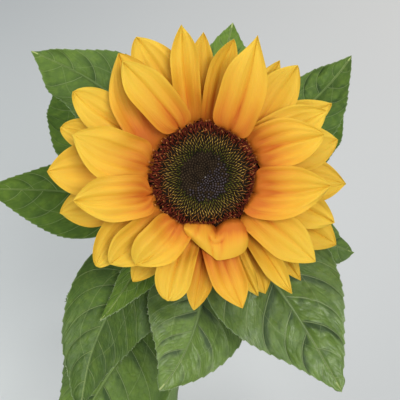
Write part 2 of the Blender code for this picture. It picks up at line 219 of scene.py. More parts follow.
def makeHairs(name, slot, hairs, rng, lengths, radius=0.05 * mm):
    # one slim three-sided spike for each root, pointing along its direction; hairs holds pairs
    # of roots and directions, lengths the shortest and longest in mm
    roots, directions = (join(part) for part in zip(*hairs))
    directions = unit(directions)
    spike = array([(cos(a), sin(a), 0) for a in circle(3)] + [(0, 0, 1)])
    faces = array([(0, 1, 3), (1, 2, 3), (2, 0, 3), (2, 1, 0)])
    helper = np.where(abs(directions[:, 2:]) < 0.9, worldUp, (1.0, 0, 0))
    right = unit(cross(helper, directions))
    axes = np.stack((right, cross(directions, right), directions), axis=1)
    sizes = vectors(radius, radius, rng.uniform(*lengths, len(roots)) * mm)
    points, triangles = scatter((spike, faces), roots, axes, sizes)
    makePiece(name, slot, hairMaterial(), points, (), triangles, smooth=False)
    print(name, len(roots))


# material tools

class Signal:
    # a node's output in the newest material; sums, differences and products make Math nodes
    def __init__(self, socket):
        self.socket = socket

    def __add__(self, other):
        return calculate("ADD", self, other)

    def __sub__(self, other):
        return calculate("SUBTRACT", self, other)

    def __mul__(self, other):
        return calculate("MULTIPLY", self, other)

    def spread(self, low, high, start=0.0, end=1.0, **settings):     # start..end to low..high
        return addNode("ShaderNodeMapRange", {0: self, 1: start, 2: end, 3: low, 4: high}, **settings)


def startMaterial(name):             # the material that the next nodes go into
    Signal.material = bpy.data.materials.new(name)
    Signal.material.use_nodes = True
    Signal.tree = Signal.material.node_tree


def plug(value, socket):             # a signal is linked; a number, vector or colour is set
    if isinstance(value, Signal):
        Signal.tree.links.new(value.socket, socket)
    elif isinstance(value, tuple) and len(value) < len(socket.default_value):
        socket.default_value = (*value, 1.0)
    else:
        socket.default_value = value


def addNode(kind, inputs=(), output=0, **settings):
    made = Signal.tree.nodes.new(kind)
    for key, value in settings.items():
        setattr(made, key, value)
    for key, value in dict(inputs).items():
        plug(value, made.inputs[key])
    return Signal(made.outputs[output])


def calculate(operation, first, second=0.0, clamp=False):
    return addNode("ShaderNodeMath", {0: first, 1: second}, operation=operation, use_clamp=clamp)


def blend(factor, first, second):
    return addNode("ShaderNodeMix", {0: factor, 6: first, 7: second}, 2, data_type="RGBA")


def readAttribute(name):
    return addNode("ShaderNodeAttribute", output="Fac", attribute_name=name)


def ownPlace():
    return addNode("ShaderNodeTexCoord", output="Object")


def coordinate(axis):
    return addNode("ShaderNodeSeparateXYZ", {0: ownPlace()}, axis)


def noise(scale, detail=3.0, roughness=0.5, stretch=(1, 1, 1), where=None):
    placed = addNode("ShaderNodeMapping", {"Vector": where or ownPlace(), "Scale": stretch})
    return addNode("ShaderNodeTexNoise", {"Vector": placed, "Scale": scale, "Detail": detail,
                                          "Roughness": roughness}, "Fac")


def colourRamp(factor, *stops):      # each stop: place, then red, green, blue
    made = addNode("ShaderNodeValToRGB", {"Fac": factor})
    ramp = made.socket.node.color_ramp
    while len(ramp.elements) < len(stops):
        ramp.elements.new(0.5)
    for element, (place, *colour) in zip(ramp.elements, stops):
        element.position = place
        element.color = (*colour, 1.0)
    return made


def shade(colour, roughness, shine=0.5, bump=None, soft=None):
    # bump: height, distance in mm, strength; soft: subsurface weight, radii, scale in mm
    inputs = Signal.tree.nodes["Principled BSDF"].inputs
    values = {"Base Color": colour, "Roughness": roughness, "Specular IOR Level": shine}
    if bump:
        height, distance, strength = bump
        values["Normal"] = addNode("ShaderNodeBump", {"Height": height, "Distance": distance * mm,
                                                      "Strength": strength})
    if soft:
        weight, radii, scale = soft
        values.update({"Subsurface Weight": weight, "Subsurface Radius": radii,
                       "Subsurface Scale": scale * mm})
    for key, value in values.items():
        plug(value, inputs[key])
    return Signal.material


def hairMaterial():
    if "pale_hair" in bpy.data.materials:
        return bpy.data.materials["pale_hair"]
    startMaterial("pale_hair")
    return shade(blend(noise(200.0), (0.42, 0.5, 0.3), (0.6, 0.64, 0.46)), 0.6)


def greenMaterial(name, dark, pale, scale, stretch=(1, 1, 1)):
    startMaterial(name)
    fine = noise(scale * 9, 2.0, 0.5, stretch)
    colour = blend(noise(scale, 4.0, 0.6, stretch), dark, pale)
    colour = blend(fine.spread(0.0, 0.4), colour, tuple(0.6 * part for part in dark))
    return shade(colour, fine.spread(0.45, 0.65), bump=(fine, 0.3, 0.6), soft=(0.08, (1.0, 0.2, 0.1), 1.0))


def floretMaterial(name, low, high, roughness, shine=0.08):
    startMaterial(name)
    fine = noise(900.0, 2.0)
    colour = colourRamp(noise(350.0, 3.0, 0.7), (0.32, *low), (0.68, *high))
    return shade(colour, fine.spread(roughness - 0.08, roughness + 0.12), shine, (fine, 0.15, 0.6))


# camera, floor and light

view = {
    "target": (0.0238265, -0.0430261, 0.4619739),   # middle of the view, level with the head
    "distance": 0.5, "elevation": 45.0, "lens": 93.2,
}


def setCamera():                     # looks at the target from its front, elevation degrees up
    data = bpy.data.cameras.new("view")
    data.lens = view["lens"]
    data.sensor_width = 36.0
    data.clip_start = 0.01
    camera = bpy.data.objects.new("view", data)
    rise = radians(view["elevation"])
    back = array((0.0, -cos(rise), sin(rise)))
    camera.location = array(view["target"]) + view["distance"] * back
    camera.rotation_euler = (pi / 2 - rise, 0.0, 0.0)
    bpy.context.scene.collection.objects.link(camera)
    bpy.context.scene.camera = camera
    print("camera at", view["elevation"], "degrees")


studio = {
    "floorSize": 8.0,
    # the floor's colours at its far and near edges: painted light and shade
    "floorFar": ((0.522, 0.55, 0.56), (0.77, 0.77, 0.757)),      # left, right
    "floorNear": ((0.69, 0.728, 0.724), (0.598, 0.615, 0.625)),
    "worldColour": (0.97, 0.985, 1.0), "worldStrength": 0.42,
    "lightsAim": (0.02, -0.03, 0.4),
    "lights": (                      # name, place, size, watts, colour
        ("key", (0.42, -0.95, 1.5), 0.6, 15.6, (1.0, 0.985, 0.96)),
        ("top", (-0.1, 0.6, 1.45), 0.35, 4.5, (1.0, 0.995, 0.98)),
        ("fill", (-1.1, -0.5, 1.3), 1.3, 9.0, (0.97, 0.98, 1.0)),
    ),
}


def floorMaterial():                 # painted light and shade: the floor's grey changes left to right and back to front between four pale greys
    startMaterial("pale_floor")
    across = coordinate(0).spread(0.0, 1.0, -0.25, 0.3)
    across = calculate("ADD", across, noise(3.0, 2.0).spread(-0.04, 0.04), clamp=True)
    far, near = (blend(across, *studio[key]) for key in ("floorFar", "floorNear"))
    return shade(blend(coordinate(1).spread(0.0, 1.0, 0.8, 0.15), far, near), 0.9)


def setStudio():
    scene = bpy.context.scene
    half = studio["floorSize"] / 2
    makeObject("floor", floorMaterial(), half * array(
        ((-1, -1, 0), (1, -1, 0), (1, 1, 0), (-1, 1, 0))), quads=((0, 1, 2, 3),))
    scene.world = bpy.data.worlds.new("studio")
    scene.world.use_nodes = True
    sky = scene.world.node_tree.nodes["Background"]
    sky.inputs[0].default_value = (*studio["worldColour"], 1.0)
    sky.inputs[1].default_value = studio["worldStrength"]
    for name, place, size, watts, colour in studio["lights"]:
        data = bpy.data.lights.new(name, "AREA")
        data.size = size
        data.energy = watts
        data.color = colour
        light = bpy.data.objects.new(name, data)
        away = unit(array(place) - studio["lightsAim"])
        light.location = place
        light.rotation_euler = (np.arccos(away[2]), 0.0, np.arctan2(away[0], -away[1]))
        scene.collection.objects.link(light)
    scene.view_settings.view_transform = "Standard"
    print("floor and", len(studio["lights"]), "lights")


# the plant's own lines: head axes and stem

head = {"centre": array((26.0, -35.0, 470.0)) * mm, "rise": radians(45), "calyxDepth": 22 * mm}
headFacing = array((0.0, -cos(head["rise"]), sin(head["rise"])))
headAxes = array(((1.0, 0.0, 0.0), (0.0, sin(head["rise"]), cos(head["rise"])), headFacing))
stem = {
    "soilTop": 106 * mm, "footRadius": 6.0 * mm, "topRadius": 4.4 * mm,
    "neckReach": 75 * mm, "lean": array((0.0, 4.0, 222.0)) * mm,
    "stations": 170, "sides": 40, "ribs": 9, "ribHeight": 0.16 * mm, "hairs": 2600,
}


def headPlace(right, up, out):       # a place on the head, by its own three axes
    return head["centre"] + vectors(right, up, out) @ headAxes


def onHead(radius, angle, height):   # radius and clockwise angle from its top, height out of its face
    return headPlace(sin(angle) * radius, cos(angle) * radius, height)


def stemPoints(along):
    # a cubic curve from the soil up and over into the back of the head
    foot = stem["soilTop"] * worldUp
    top = head["centre"] - head["calyxDepth"] * headFacing
    t = np.asarray(along, dtype=float)[..., None]
    return ((1 - t) ** 3 * foot + 3 * (1 - t) ** 2 * t * (foot + stem["lean"])
            + 3 * (1 - t) * t ** 2 * (top - stem["neckReach"] * headFacing) + t ** 3 * top)


def stemRadius(along):               # even taper from foot to top
    return stem["footRadius"] + (stem["topRadius"] - stem["footRadius"]) * along


def buildStem():
    # radius = taper + ribs round the stem + small ripples + swellings at the petioles, the foot
    # and the neck, carried along the stem's curve
    along = linspace(0, 1, stem["stations"])[:, None]
    path = stemPoints(along[:, 0])
    path[0, 2] -= 2 * mm             # the foot goes a little into the soil
    angle = circle(stem["sides"])
    radius = stemRadius(along) + stem["ribHeight"] * cos(stem["ribs"] * angle + 2.5 * along)
    radius = radius + 0.12 * mm * ripple(9 * along, angle / pi, 7)
    for leaf in leaves:              # a slight swelling where each petiole leaves
        radius = radius + 0.45 * mm * bell(path[:, 2:] - leaf[1] * mm, 3.5 * mm)
    radius = radius * (1 + 0.18 * exp(-along / 0.012)) + 1.2 * mm * smoothStep((along - 0.97) / 0.03)
    points, *faces = tube(path, radius, stem["sides"], array((0.0, 1.0, 0.0)))
    material = greenMaterial("stem_green", (0.115, 0.205, 0.05), (0.215, 0.32, 0.095), 60.0, (1, 1, 0.25))
    makePiece("stem_skin", "stem", material, points, *faces, ("stem",))
    rng = default_rng(11)
    rows = rng.integers(2, stem["stations"] - 2, stem["hairs"])
    roots = points[rows * stem["sides"] + rng.integers(0, stem["sides"], stem["hairs"])]
    directions = unit(roots - path[rows]) + 0.25 * rng.normal(size=roots.shape)
    makeHairs("stem_hairs", "stem", [(roots, directions)], rng, (0.6, 1.7))


# calyx and bracts

calyx = {
    "sides": 120, "ridges": 26, "rounding": 2.5 * mm, "step": 1.5 * mm,
    "profile": (                     # mm from the axis and out of the head's face
        (0.0, -21.7), (4.7, -21.7), (7.5, -19.0), (13.5, -15.6), (20.0, -12.4), (24.0, -9.6),
        (27.0, -7.0), (27.6, -5.9), (23.6, -0.7), (0.0, -0.7)),
}
bractWhorl = {
    # seat radius, seat depth, tip radius, tip depth and width in mm, count, turn
    "rings": ((21.0, 13.2, 38.5, 17.5, 9.5, 13, 0.0), (23.6, 11.0, 42.0, 13.6, 10.0, 13, 0.5),
              (25.0, 9.4, 43.5, 11.4, 9.0, 13, 0.25)),
    "rows": 26, "columns": 11, "halfThick": 0.28 * mm, "marginHairs": 26, "backHairs": 24,
}


def buildCalyx():
    # the profile turned about the head's axis, with ridges on its outside
    def relief(radius, height, angle):
        bulge = cos(calyx["ridges"] * angle) * smoothStep(radius / (12 * mm)) * (height < -6 * mm)
        return radius + 0.25 * mm * bulge, height
    profile = roundedProfile(array(calyx["profile"]) * mm, calyx["rounding"], calyx["step"])
    material = greenMaterial("calyx_green", (0.105, 0.19, 0.045), (0.19, 0.29, 0.085), 80.0)
    makePiece("calyx_cup", "calyx", material,
              *turned(profile, calyx["sides"], relief, head["centre"], headAxes), ("calyx",))
    print("calyx")


def marginHairs(rng, sheet, rows, spreading, sideways=0.0):
    # hairs that stand outwards from both side margins of a sheet: pairs of roots and directions
    for column, inner in ((0, 2), (-1, -3)):
        picked = rng.integers(*rows)
        mix = rng.uniform(0, 1, len(picked))[:, None] if sideways else 0
        root = sheet[picked, column] * (1 - mix) + sheet[picked + 1, column] * mix
        out = unit(sheet[picked, column] - sheet[picked, inner])
        out = out + spreading * rng.normal(size=out.shape)
        yield root, out + (sideways * sheetNormals(sheet)[picked, column] if sideways else 0)


def buildBracts():
    # each bract is a pointed scale: half-width = W/2 (1 - t^2.2)^0.9 (0.75 + 0.45 t), cupped and
    # bent outwards at its tip
    whorl = bractWhorl
    allPoints, allQuads, hairs = [], [], []
    rng = default_rng(21)
    t = linspace(0, 1, whorl["rows"])[:, None]
    v = linspace(-1, 1, whorl["columns"])
    for seatRadius, seatDepth, tipRadius, tipDepth, width, count, turn in whorl["rings"]:
        for step in range(count):
            angle = 2 * pi * (step + turn) / count + rng.uniform(-0.05, 0.05)
            reach = tipRadius + rng.uniform(-3.0, 1.0)
            radius = (seatRadius + (reach - seatRadius) * t) * mm
            depth = seatDepth + (tipDepth - seatDepth) * t ** 1.3 + rng.uniform(0.0, 1.5) * t ** 3
            half = width * mm / 2 * (1 - t ** 2.2) ** 0.9 * (0.75 + 0.45 * t) + 0.1 * mm
            cup = (0.9 * v ** 2 + 0.14 * cos(3 * pi * v)) * (1 - t) * mm
            sheet = onHead(radius, angle + half / radius * v, cup - depth * mm)
            points, quads, _ = thinShell(sheet, whorl["halfThick"])
            allQuads.append(quads + len(allPoints) * len(points))
            allPoints.append(points)
            hairs += marginHairs(rng, sheet, (2, whorl["rows"] - 1, whorl["marginHairs"]), 0.4)
            rows = rng.integers(2, whorl["rows"] - 3, whorl["backHairs"])
            columns = rng.integers(1, whorl["columns"] - 1, whorl["backHairs"])
            root = sheet[rows, columns] - headFacing * 0.2 * mm
            hairs.append((root, 0.6 * rng.normal(size=root.shape) - headFacing))
    material = greenMaterial("bract_green", (0.09, 0.18, 0.04), (0.18, 0.29, 0.085), 90.0)
    makePiece("bract_whorl", "bracts", material, join(allPoints), join(allQuads), replaced=("bracts",))
    print("bracts:", len(allPoints))
    makeHairs("bract_hairs", "bracts", hairs, rng, (0.7, 1.6))


# petals

petalHabit = {
    "seatRadius": 24.0 * mm, "seatStep": 1.0 * mm, "seatDepth": 0.4 * mm, "seatDrop": 1.3 * mm,
    "startSlope": (96, 76, 58, 38, 18),      # by row, degrees from the head's plane
    "endSlope": (8, 4, 0, -4, -9),
    "archLength": 9 * mm,
    "foot": (0.9, 0.88, 0.82, 0.8, 0.8),  # by row, width at the disc as a share of the full width
    "scallop": (9.0, 7.5, 3.5, 2.0, 2.0),    # mm over which the foot rounds in
    # how much further out the foot of a petal shows than its row's place, mm
    "seatShift": {1: 1.6, 4: 0.5, 9: 1.4, 12: -0.3, 15: 0.5, 21: -1.4, 23: 0.6, 25: 1.3, 26: 1.6,
                  27: 0.5, 29: 3.4, 31: 2.6, 34: 2.2},
    "rows": 56, "columns": 33,               # grid of one petal
    "halfThick": 0.24 * mm, "edgeThick": 0.08 * mm,
}
# angle, reach, width, row, lean, belly much as the solids have them; then cup (how far the edges
# stand up, share of the half-width), crease (V fold), twist, curl at the tip in degrees,
# point (outline power near the tip: high is sharper) and tone (0 orange to 1 light yellow); a
# low tone is partly the petal's own deeper orange and partly painted shade where others cover it
petals = (
    (-8.6, 73, 13.5, 2, -5, 1.4, 0.55, 0.25, 0.1, -8, 1, 0.8),
    (-0.5, 69.7, 12.6, 3, -2, 1.3, 0.2, 0.35, -0.1, 0, 0.9, 0.55),
    (12.1, 66.7, 12.6, 2, -5, 1.5, 0.45, 0.55, -0.25, 6, 0.85, 0.6),
    (20.7, 69.9, 22.2, 0, 8, 0.85, 0.24, 0.1, 0.05, -10, 1.15, 0.72),
    (33, 67.8, 12.6, 4, 0, 1.3, 0.2, 0.1, 0, 0, 0.95, 0.6),
    (40, 70.1, 20.3, 3, 8, 1.3, 0.15, 0.2, 0.1, 0, 0.85, 0.7),
    (60, 71.8, 16.4, 4, -3, 1.3, 0.25, 0.15, 0.2, 5, 0.8, 0.85),
    (62, 66.3, 20.3, 2, -4, 1.2, 0.15, 0.15, 0.15, -6, 0.85, 0.85),
    (71, 59.9, 24.1, 1, -7, 0.9, 0.26, 0.05, 0.05, -12, 0.8, 0.5),
    (74.5, 66.8, 21.3, 3, 0, 1.5, 0.1, 0.15, 0, 0, 0.8, 0.85),
    (93, 69.2, 21.3, 4, -1, 1.5, 0.12, 0.15, 0, 6, 1, 0.75),
    (94.5, 59.3, 27, 0, 14, 0.8, 0.26, 0.04, 0, -12, 0.85, 0.48),
    (109.6, 65.9, 19.3, 2, -2, 1.3, 0.2, 0.2, 0.05, 0, 0.85, 0.8),
    (117, 72.6, 20.6, 4, -2, 1.5, 0.15, 0.12, 0, 0, 0.85, 0.6),
    (127.7, 66.2, 20.3, 1, -3, 1.2, 0.15, 0.12, -0.1, -8, 0.9, 0.78),
    (137, 69.1, 11.6, 4, -2, 1.3, 0.2, 0.2, 0, 0, 0.95, 0.45),
    (143.3, 69.8, 10.6, 2, -5, 1.4, 0.45, 0.35, -0.1, 0, 1, 0.7),
    (152.5, 63.8, 15.5, 3, -4, 1.5, 0.2, 0.25, 0, 0, 0.9, 0.36),
    (155.9, 62.6, 9.6, 2, 1, 1.5, 0.35, 0.3, 0, 0, 0.95, 0.62),
    (164, 64.9, 16.6, 1, 6, 1.6, 0.2, 0.3, 0.1, 0, 1, 0.05),
    (171, 38.9, 29, 0, 0, 0.7, 0, 0, 0, -25, 0.75, 0.38),
    (184.6, 64.2, 12.6, 2, -7, 1.5, 0.4, 0.3, 0.15, 0, 0.85, 0.15),
    (196.4, 61.6, 17.4, 1, 2, 1.9, 0.26, 0.1, -0.1, -10, 0.55, 0.68),
    (214.5, 62, 13.5, 4, -5, 1.5, 0.2, 0.15, 0, 0, 0.85, 0.55),
    (218, 52.7, 21.3, 0, -8, 1.2, 0.38, 0.1, 0.2, -22, 0.75, 0.7),
    (227, 61.1, 19.3, 1, -4, 1.3, 0.3, 0.2, 0.15, -12, 0.7, 0.75),
    (230.5, 67.4, 17.4, 2, 14, 1.3, 0.3, 0.15, 0.15, -8, 0.6, 0.8),
    (256, 73.1, 21.3, 4, -2, 1.5, 0.12, 0.1, 0, 0, 0.8, 0.6),
    (259.2, 62.2, 22.2, 0, -8, 1.1, 0.2, 0.12, -0.05, -8, 0.9, 0.75),
    (272, 76, 26.1, 3, 2, 1.6, 0.1, 0.1, 0, 0, 0.85, 0.4),
    (287.2, 65.1, 26.1, 1, -7, 1, 0.22, 0.1, -0.1, -6, 0.85, 0.8),
    (289, 74.7, 16.4, 4, 0, 1.6, 0.1, 0.1, 0, 0, 0.6, 0.55),
    (303, 75.6, 20.3, 3, -2, 1.5, 0.15, 0.15, 0, 0, 0.65, 0.8),
    (324.2, 65.4, 19.3, 0, 8, 1.2, 0.3, 0.15, 0.15, -6, 0.85, 0.78),
    (325, 71.6, 26.1, 2, -17, 1.3, 0.2, 0.2, 0.2, 0, 0.9, 0.25),
    (334, 75.1, 22.2, 3, 9, 1.4, 0.15, 0.15, 0, 0, 0.75, 0.78),
)
curledPetal = 21                     # the short one that folds over the disc's lower edge
# its upper edge, where it folds over the disc, and its lower edge: mm right of and above the
# head's centre, from its right side to its left, at the given places across
curledEdge = {
    "across": (-1, -0.8, -0.6, -0.4, -0.2, -0.06, 0, 0.08, 0.25, 0.45, 0.7, 0.9, 1),
    "upperRight": (20.6, 20, 17.6, 14, 9.6, 6.4, 5.4, 4.2, 0.9, -2.7, -6.5, -9, -9.9),
    "upperUp": (-27.6, -23.6, -20.8, -19.9, -20.8, -23.8, -25, -23.4, -21.3, -21.8, -21.9, -21.8, -23),
    "lowerRight": (20.9, 20.3, 18.1, 14.7, 10.4, 7, 5.7, 4.6, 1.7, -2, -6.5, -8.9, -9.8),
    "lowerUp": (-30.3, -33.6, -36.5, -38.2, -39.3, -39.9, -39.9, -38.8, -36.5, -33.6, -29.6, -27.3, -25.4),
}


def petalMaterial():
    # distance along the petal + streaks + tone - painted shade in the hollows picks a colour from orange to
    # light yellow; a low tone is partly painted shade as well
    startMaterial("petal_yellow")
    streak = noise(1.0, 3.0, 0.6, (46.0, 1.3, 1.0), addNode("ShaderNodeUVMap", uv_map="UVMap"))
    place = readAttribute("along") + streak.spread(-0.1, 0.1) + readAttribute("tone").spread(-0.34, 0.14)
    colour = colourRamp(place - readAttribute("hollow").spread(0.0, 0.34),
                        (0.0, 0.52, 0.132, 0.012), (0.14, 0.62, 0.232, 0.018),
                        (0.38, 0.67, 0.35, 0.026), (0.68, 0.69, 0.43, 0.036), (1.0, 0.71, 0.49, 0.048))
    dark = streak.spread(0.0, 0.3) * noise(90.0, 2.0).spread(0.2, 0.8)
    return shade(blend(dark, colour, (0.62, 0.25, 0.014)), streak.spread(0.55, 0.75), 0.22,
                 (streak, 0.26, 0.7), (0.12, (1.0, 0.42, 0.06), 0.8))


def petalMidline(number, reach, row, curl):
    # a claw runs out flat to where the foot shows; from there slope(s) = end + (start - end)
    # exp(-s / archLength) + curl near the tip. The petal's length is the one that ends at reach
    shift = petalHabit["seatShift"].get(number, 0.0) * mm
    seat = petalHabit["seatRadius"] + petalHabit["seatStep"] * row + min(shift, 0.0)
    claw = max(shift, 0.0)
    start, end = (radians(petalHabit[key][row]) for key in ("startSlope", "endSlope"))
    share = linspace(0, 1, 401)
    length = reach - seat
    for _ in range(8):
        run = share * length
        slope = end + (start - end) * exp(-np.maximum(run - claw, 0) / petalHabit["archLength"])
        if claw:
            slope = slope * smoothStep((run + 0.3 * mm) / (claw + 0.3 * mm))
        slope = slope + radians(curl) * smoothStep((share - 0.55) / 0.45)
        outward = runningSum(cos(slope))
        length = (reach - seat) / outward[-1]
    stations = linspace(0, 1, petalHabit["rows"]) ** 0.92
    outward, upward, slope = (np.interp(stations, share, part)
                              for part in (outward, runningSum(sin(slope)), slope))
    height = length * upward - petalHabit["seatDepth"] - petalHabit["seatDrop"] * row
    return stations, seat + length * outward, height, slope, seat + claw


def curledSheet(progress, height):
    # straight lines from the upper edge to the lower one, at the progress and height of the
    # midline; domed lobes, a hump below the notch and two grooves that meet at the tip
    v = linspace(-1, 1, petalHabit["columns"])
    share = progress[:, None]
    soft = bell(v[:, None] - v, 0.05)
    soft = soft / soft.sum(axis=1, keepdims=True)
    edge = {key: soft @ np.interp(v, curledEdge["across"], line) for key, line in curledEdge.items()}
    right, up = (edge["upper" + key] * (1 - share) + edge["lower" + key] * share for key in ("Right", "Up"))
    x, y = right - 5.6, up + 29.0    # from the hump's middle, mm
    hump = exp(-((x / 2.9) ** 2 + (y / 2.7) ** 2) ** 2)
    ringed = bell(np.hypot(x / 3.4, y / 3.1) - 1, 0.22)
    grooves = bell(abs(v - 0.02) - 0.22 * (1 - 0.6 * share), 0.05) * smoothStep((share - 0.35) / 0.2)
    notch = bell(v + 0.01, 0.09) * bell(share, 0.25)
    crease = bell(v - 0.42 - 0.25 * share, 0.05) * sin(pi * share)
    raised = 2.2 * bell(abs(v) - 0.55, 0.3) * sin(pi * share) ** 0.8 + 1.1 * hump
    raised = raised - 0.4 * ringed - 0.8 * grooves - 2.2 * notch - 0.8 * crease
    raised = raised - 2.2 * v ** 4 * (0.4 + 0.6 * share)
    rightLobe = smoothStep((0.05 - v) / 0.35) * (1 - smoothStep((share - 0.05) / 0.85))
    # painted shade: more orange in the grooves, the notch, the crease, the ring round the hump and over the
    # whole right lobe
    hollow = 0.6 * grooves + 0.25 * ringed + 0.8 * notch + 0.6 * crease + 0.8 * rightLobe
    sheet = headPlace(right * mm, up * mm, height[:, None] + raised * mm)
    return sheet, 0.22 + 0.5 * share, v, clip(hollow, 0, 1.4)


def petalSheet(number, angle, reach, width, row, lean, belly, cup, crease, twist, curl, point):
    # the midline in polar places about the head's axis, spread sideways by the half-width, then
    # lifted off itself by the cup, crease, pleats and waves. The half-width grows from the foot
    # as a quarter sine to its widest place, and then falls as W/2 sin(pi p^belly)^power
    stations, radius, height, slope, seat = petalMidline(number, reach * mm, row, curl)
    radius, height, slope = radius[:, None], height[:, None], slope[:, None]
    rng = default_rng(400 + number)
    p = clip((radius - seat) / (reach * mm - seat), 0, 1)
    peak = 0.5 ** (1 / belly)
    inside = 1 - clip(p * (reach * mm - seat) / (petalHabit["scallop"][row] * mm), 0, 1)
    foot = 0.3 + (petalHabit["foot"][row] - 0.3) * np.sqrt(1 - inside ** 2)
    near = foot + (1 - foot) * sin(pi / 2 * clip(p / peak, 0, 1)) ** 0.9
    power = 0.62 + (point - 0.62) * smoothStep((p - 0.45) / 0.4)
    far = clip(sin(pi * p ** belly), 0, 1) ** power
    w = width * mm / 2 * np.where(p < peak, near, far) + 0.12 * mm
    v = linspace(-1, 1, petalHabit["columns"])
    opened = smoothStep(stations[:, None] / 0.35)
    middle = radians(angle + lean * (1 - p) + rng.uniform(-1.5, 1.5) * sin(pi * p))
    phase = rng.uniform(0, 2 * pi, 4)
    pleats = cos(2 * pi * rng.choice((1.5, 2.0, 2.5)) * v + phase[0])
    fold = bell(v - 0.12 * sin(phase[3]), 0.07)
    lift = w * (cup * (v ** 2 - 0.35) * (1 - 0.35 * p) + crease * (abs(v) ** 0.9 - 0.5)
                + 0.036 * pleats * (1 - 0.3 * p) + 0.01 * cos(2 * pi * 4.5 * v + phase[1]))
    lift = lift + (0.9 * abs(v) ** 3 * sin(2 * pi * 1.6 * p + phase[2] + v) - 0.5 * fold
                   + 0.8 * ripple(1.6 * p, 0.8 * v, 900 + number)) * mm
    lift = lift * opened + twist * w * v * smoothStep(p)
    if row < 2:                      # the foot is pinched where it bends over the disc
        lift = lift - 1.3 * mm * bell(v, 0.16) * bell(p, 0.1)
    if number == curledPetal:
        return curledSheet(p[:, 0], height[:, 0])
    # painted shade: more orange in the middle fold and in the troughs of the pleats, most near the foot
    hollow = (0.6 * fold + 0.35 * (0.5 - 0.5 * pleats)) * opened * (1 - 0.6 * p) * (1 - v ** 6)
    sheet = onHead(radius - sin(slope) * lift, middle + w / radius * v, height + cos(slope) * lift)
    return sheet, p, v, hollow


def buildPetals():
    material = petalMaterial()
    thin = petalHabit["edgeThick"] / petalHabit["halfThick"]
    for number, (*shape, tone) in enumerate(petals, start=1):
        sheet, p, v, hollow = petalSheet(number, *shape)
        thick = petalHabit["halfThick"] * (thin + (1 - thin) * (1 - abs(v) ** 3)) * (1 - 0.4 * p)
        points, quads, _ = thinShell(sheet, thick)
        name = f"petal_{number:02d}"
        mesh = makePiece(name + "_blade", "petals", material, points, quads, replaced=(name,), crisp=55)
        p, v, hollow = (np.tile(grid.ravel(), 2) for grid in np.broadcast_arrays(p, v, hollow))
        for key, values in (("along", p), ("hollow", hollow), ("tone", tone + 0 * p)):
            setAttribute(mesh, key, values)
        setUv(mesh, vectors(0.5 + 0.5 * v + number, p + 0.37 * number))
    print("petals:", len(petals))


# leaves

leafHabit = {
    "veins": 7, "rowsPerVein": 18, "columns": 51,
    "belly": 0.62, "fullness": 0.95,         # the blade's outline, as in the solids
    "climb": 0.6,                           # how far a side vein climbs on its way to the margin
    "petioleRadius": 1.5 * mm, "petioleSides": 12, "petioleRows": 22, "midribRows": 40,
    "halfThick": 0.28 * mm, "edgeThick": 0.12 * mm,
    "toothDepth": 0.95 * mm, "toothPitch": 4.2 * mm,
    "marginHairs": 115, "petioleHairs": 60, "hairRadius": 0.045 * mm,
    # side of the midrib, where along the blade, spread, factor of the half-width
    "trims": {
        "leaf_upper_left": ((1, 0.2, 0.24, 0.78), (1, 0.55, 0.22, 1.18), (-1, 0.62, 0.22, 0.7)),
        "leaf_left": ((1, 0.5, 0.6, 1.15), (-1, 0.5, 0.6, 0.88)),
        "leaf_back_left": ((-1, 0.5, 0.6, 0.9), (1, 0.7, 0.3, 1.22)),
        "leaf_front_left": ((-1, 0.35, 0.35, 0.88), (-1, 0.88, 0.14, 1.35)),
        "leaf_low_front": ((-1, 0.5, 0.5, 0.84),),
        "leaf_front": ((-1, 0.92, 0.1, 1.45), (1, 0.92, 0.08, 1.25)),
        "leaf_right": ((1, 0.9, 0.14, 1.75), (-1, 0.9, 0.2, 1.6)),
        "leaf_front_right": ((1, 0.94, 0.05, 1.8), (1, 0.5, 0.2, 0.95), (-1, 0.97, 0.04, 1.5),
                             (-1, 0.62, 0.32, 0.89)),
        "leaf_foot_right": ((1, 0.5, 0.6, 0.94), (-1, 0.5, 0.6, 0.94))},
    "shine": {"dull": 0.01, "soft": 0.14, "satin": 0.26, "glossy": 0.66},       # specular level
}
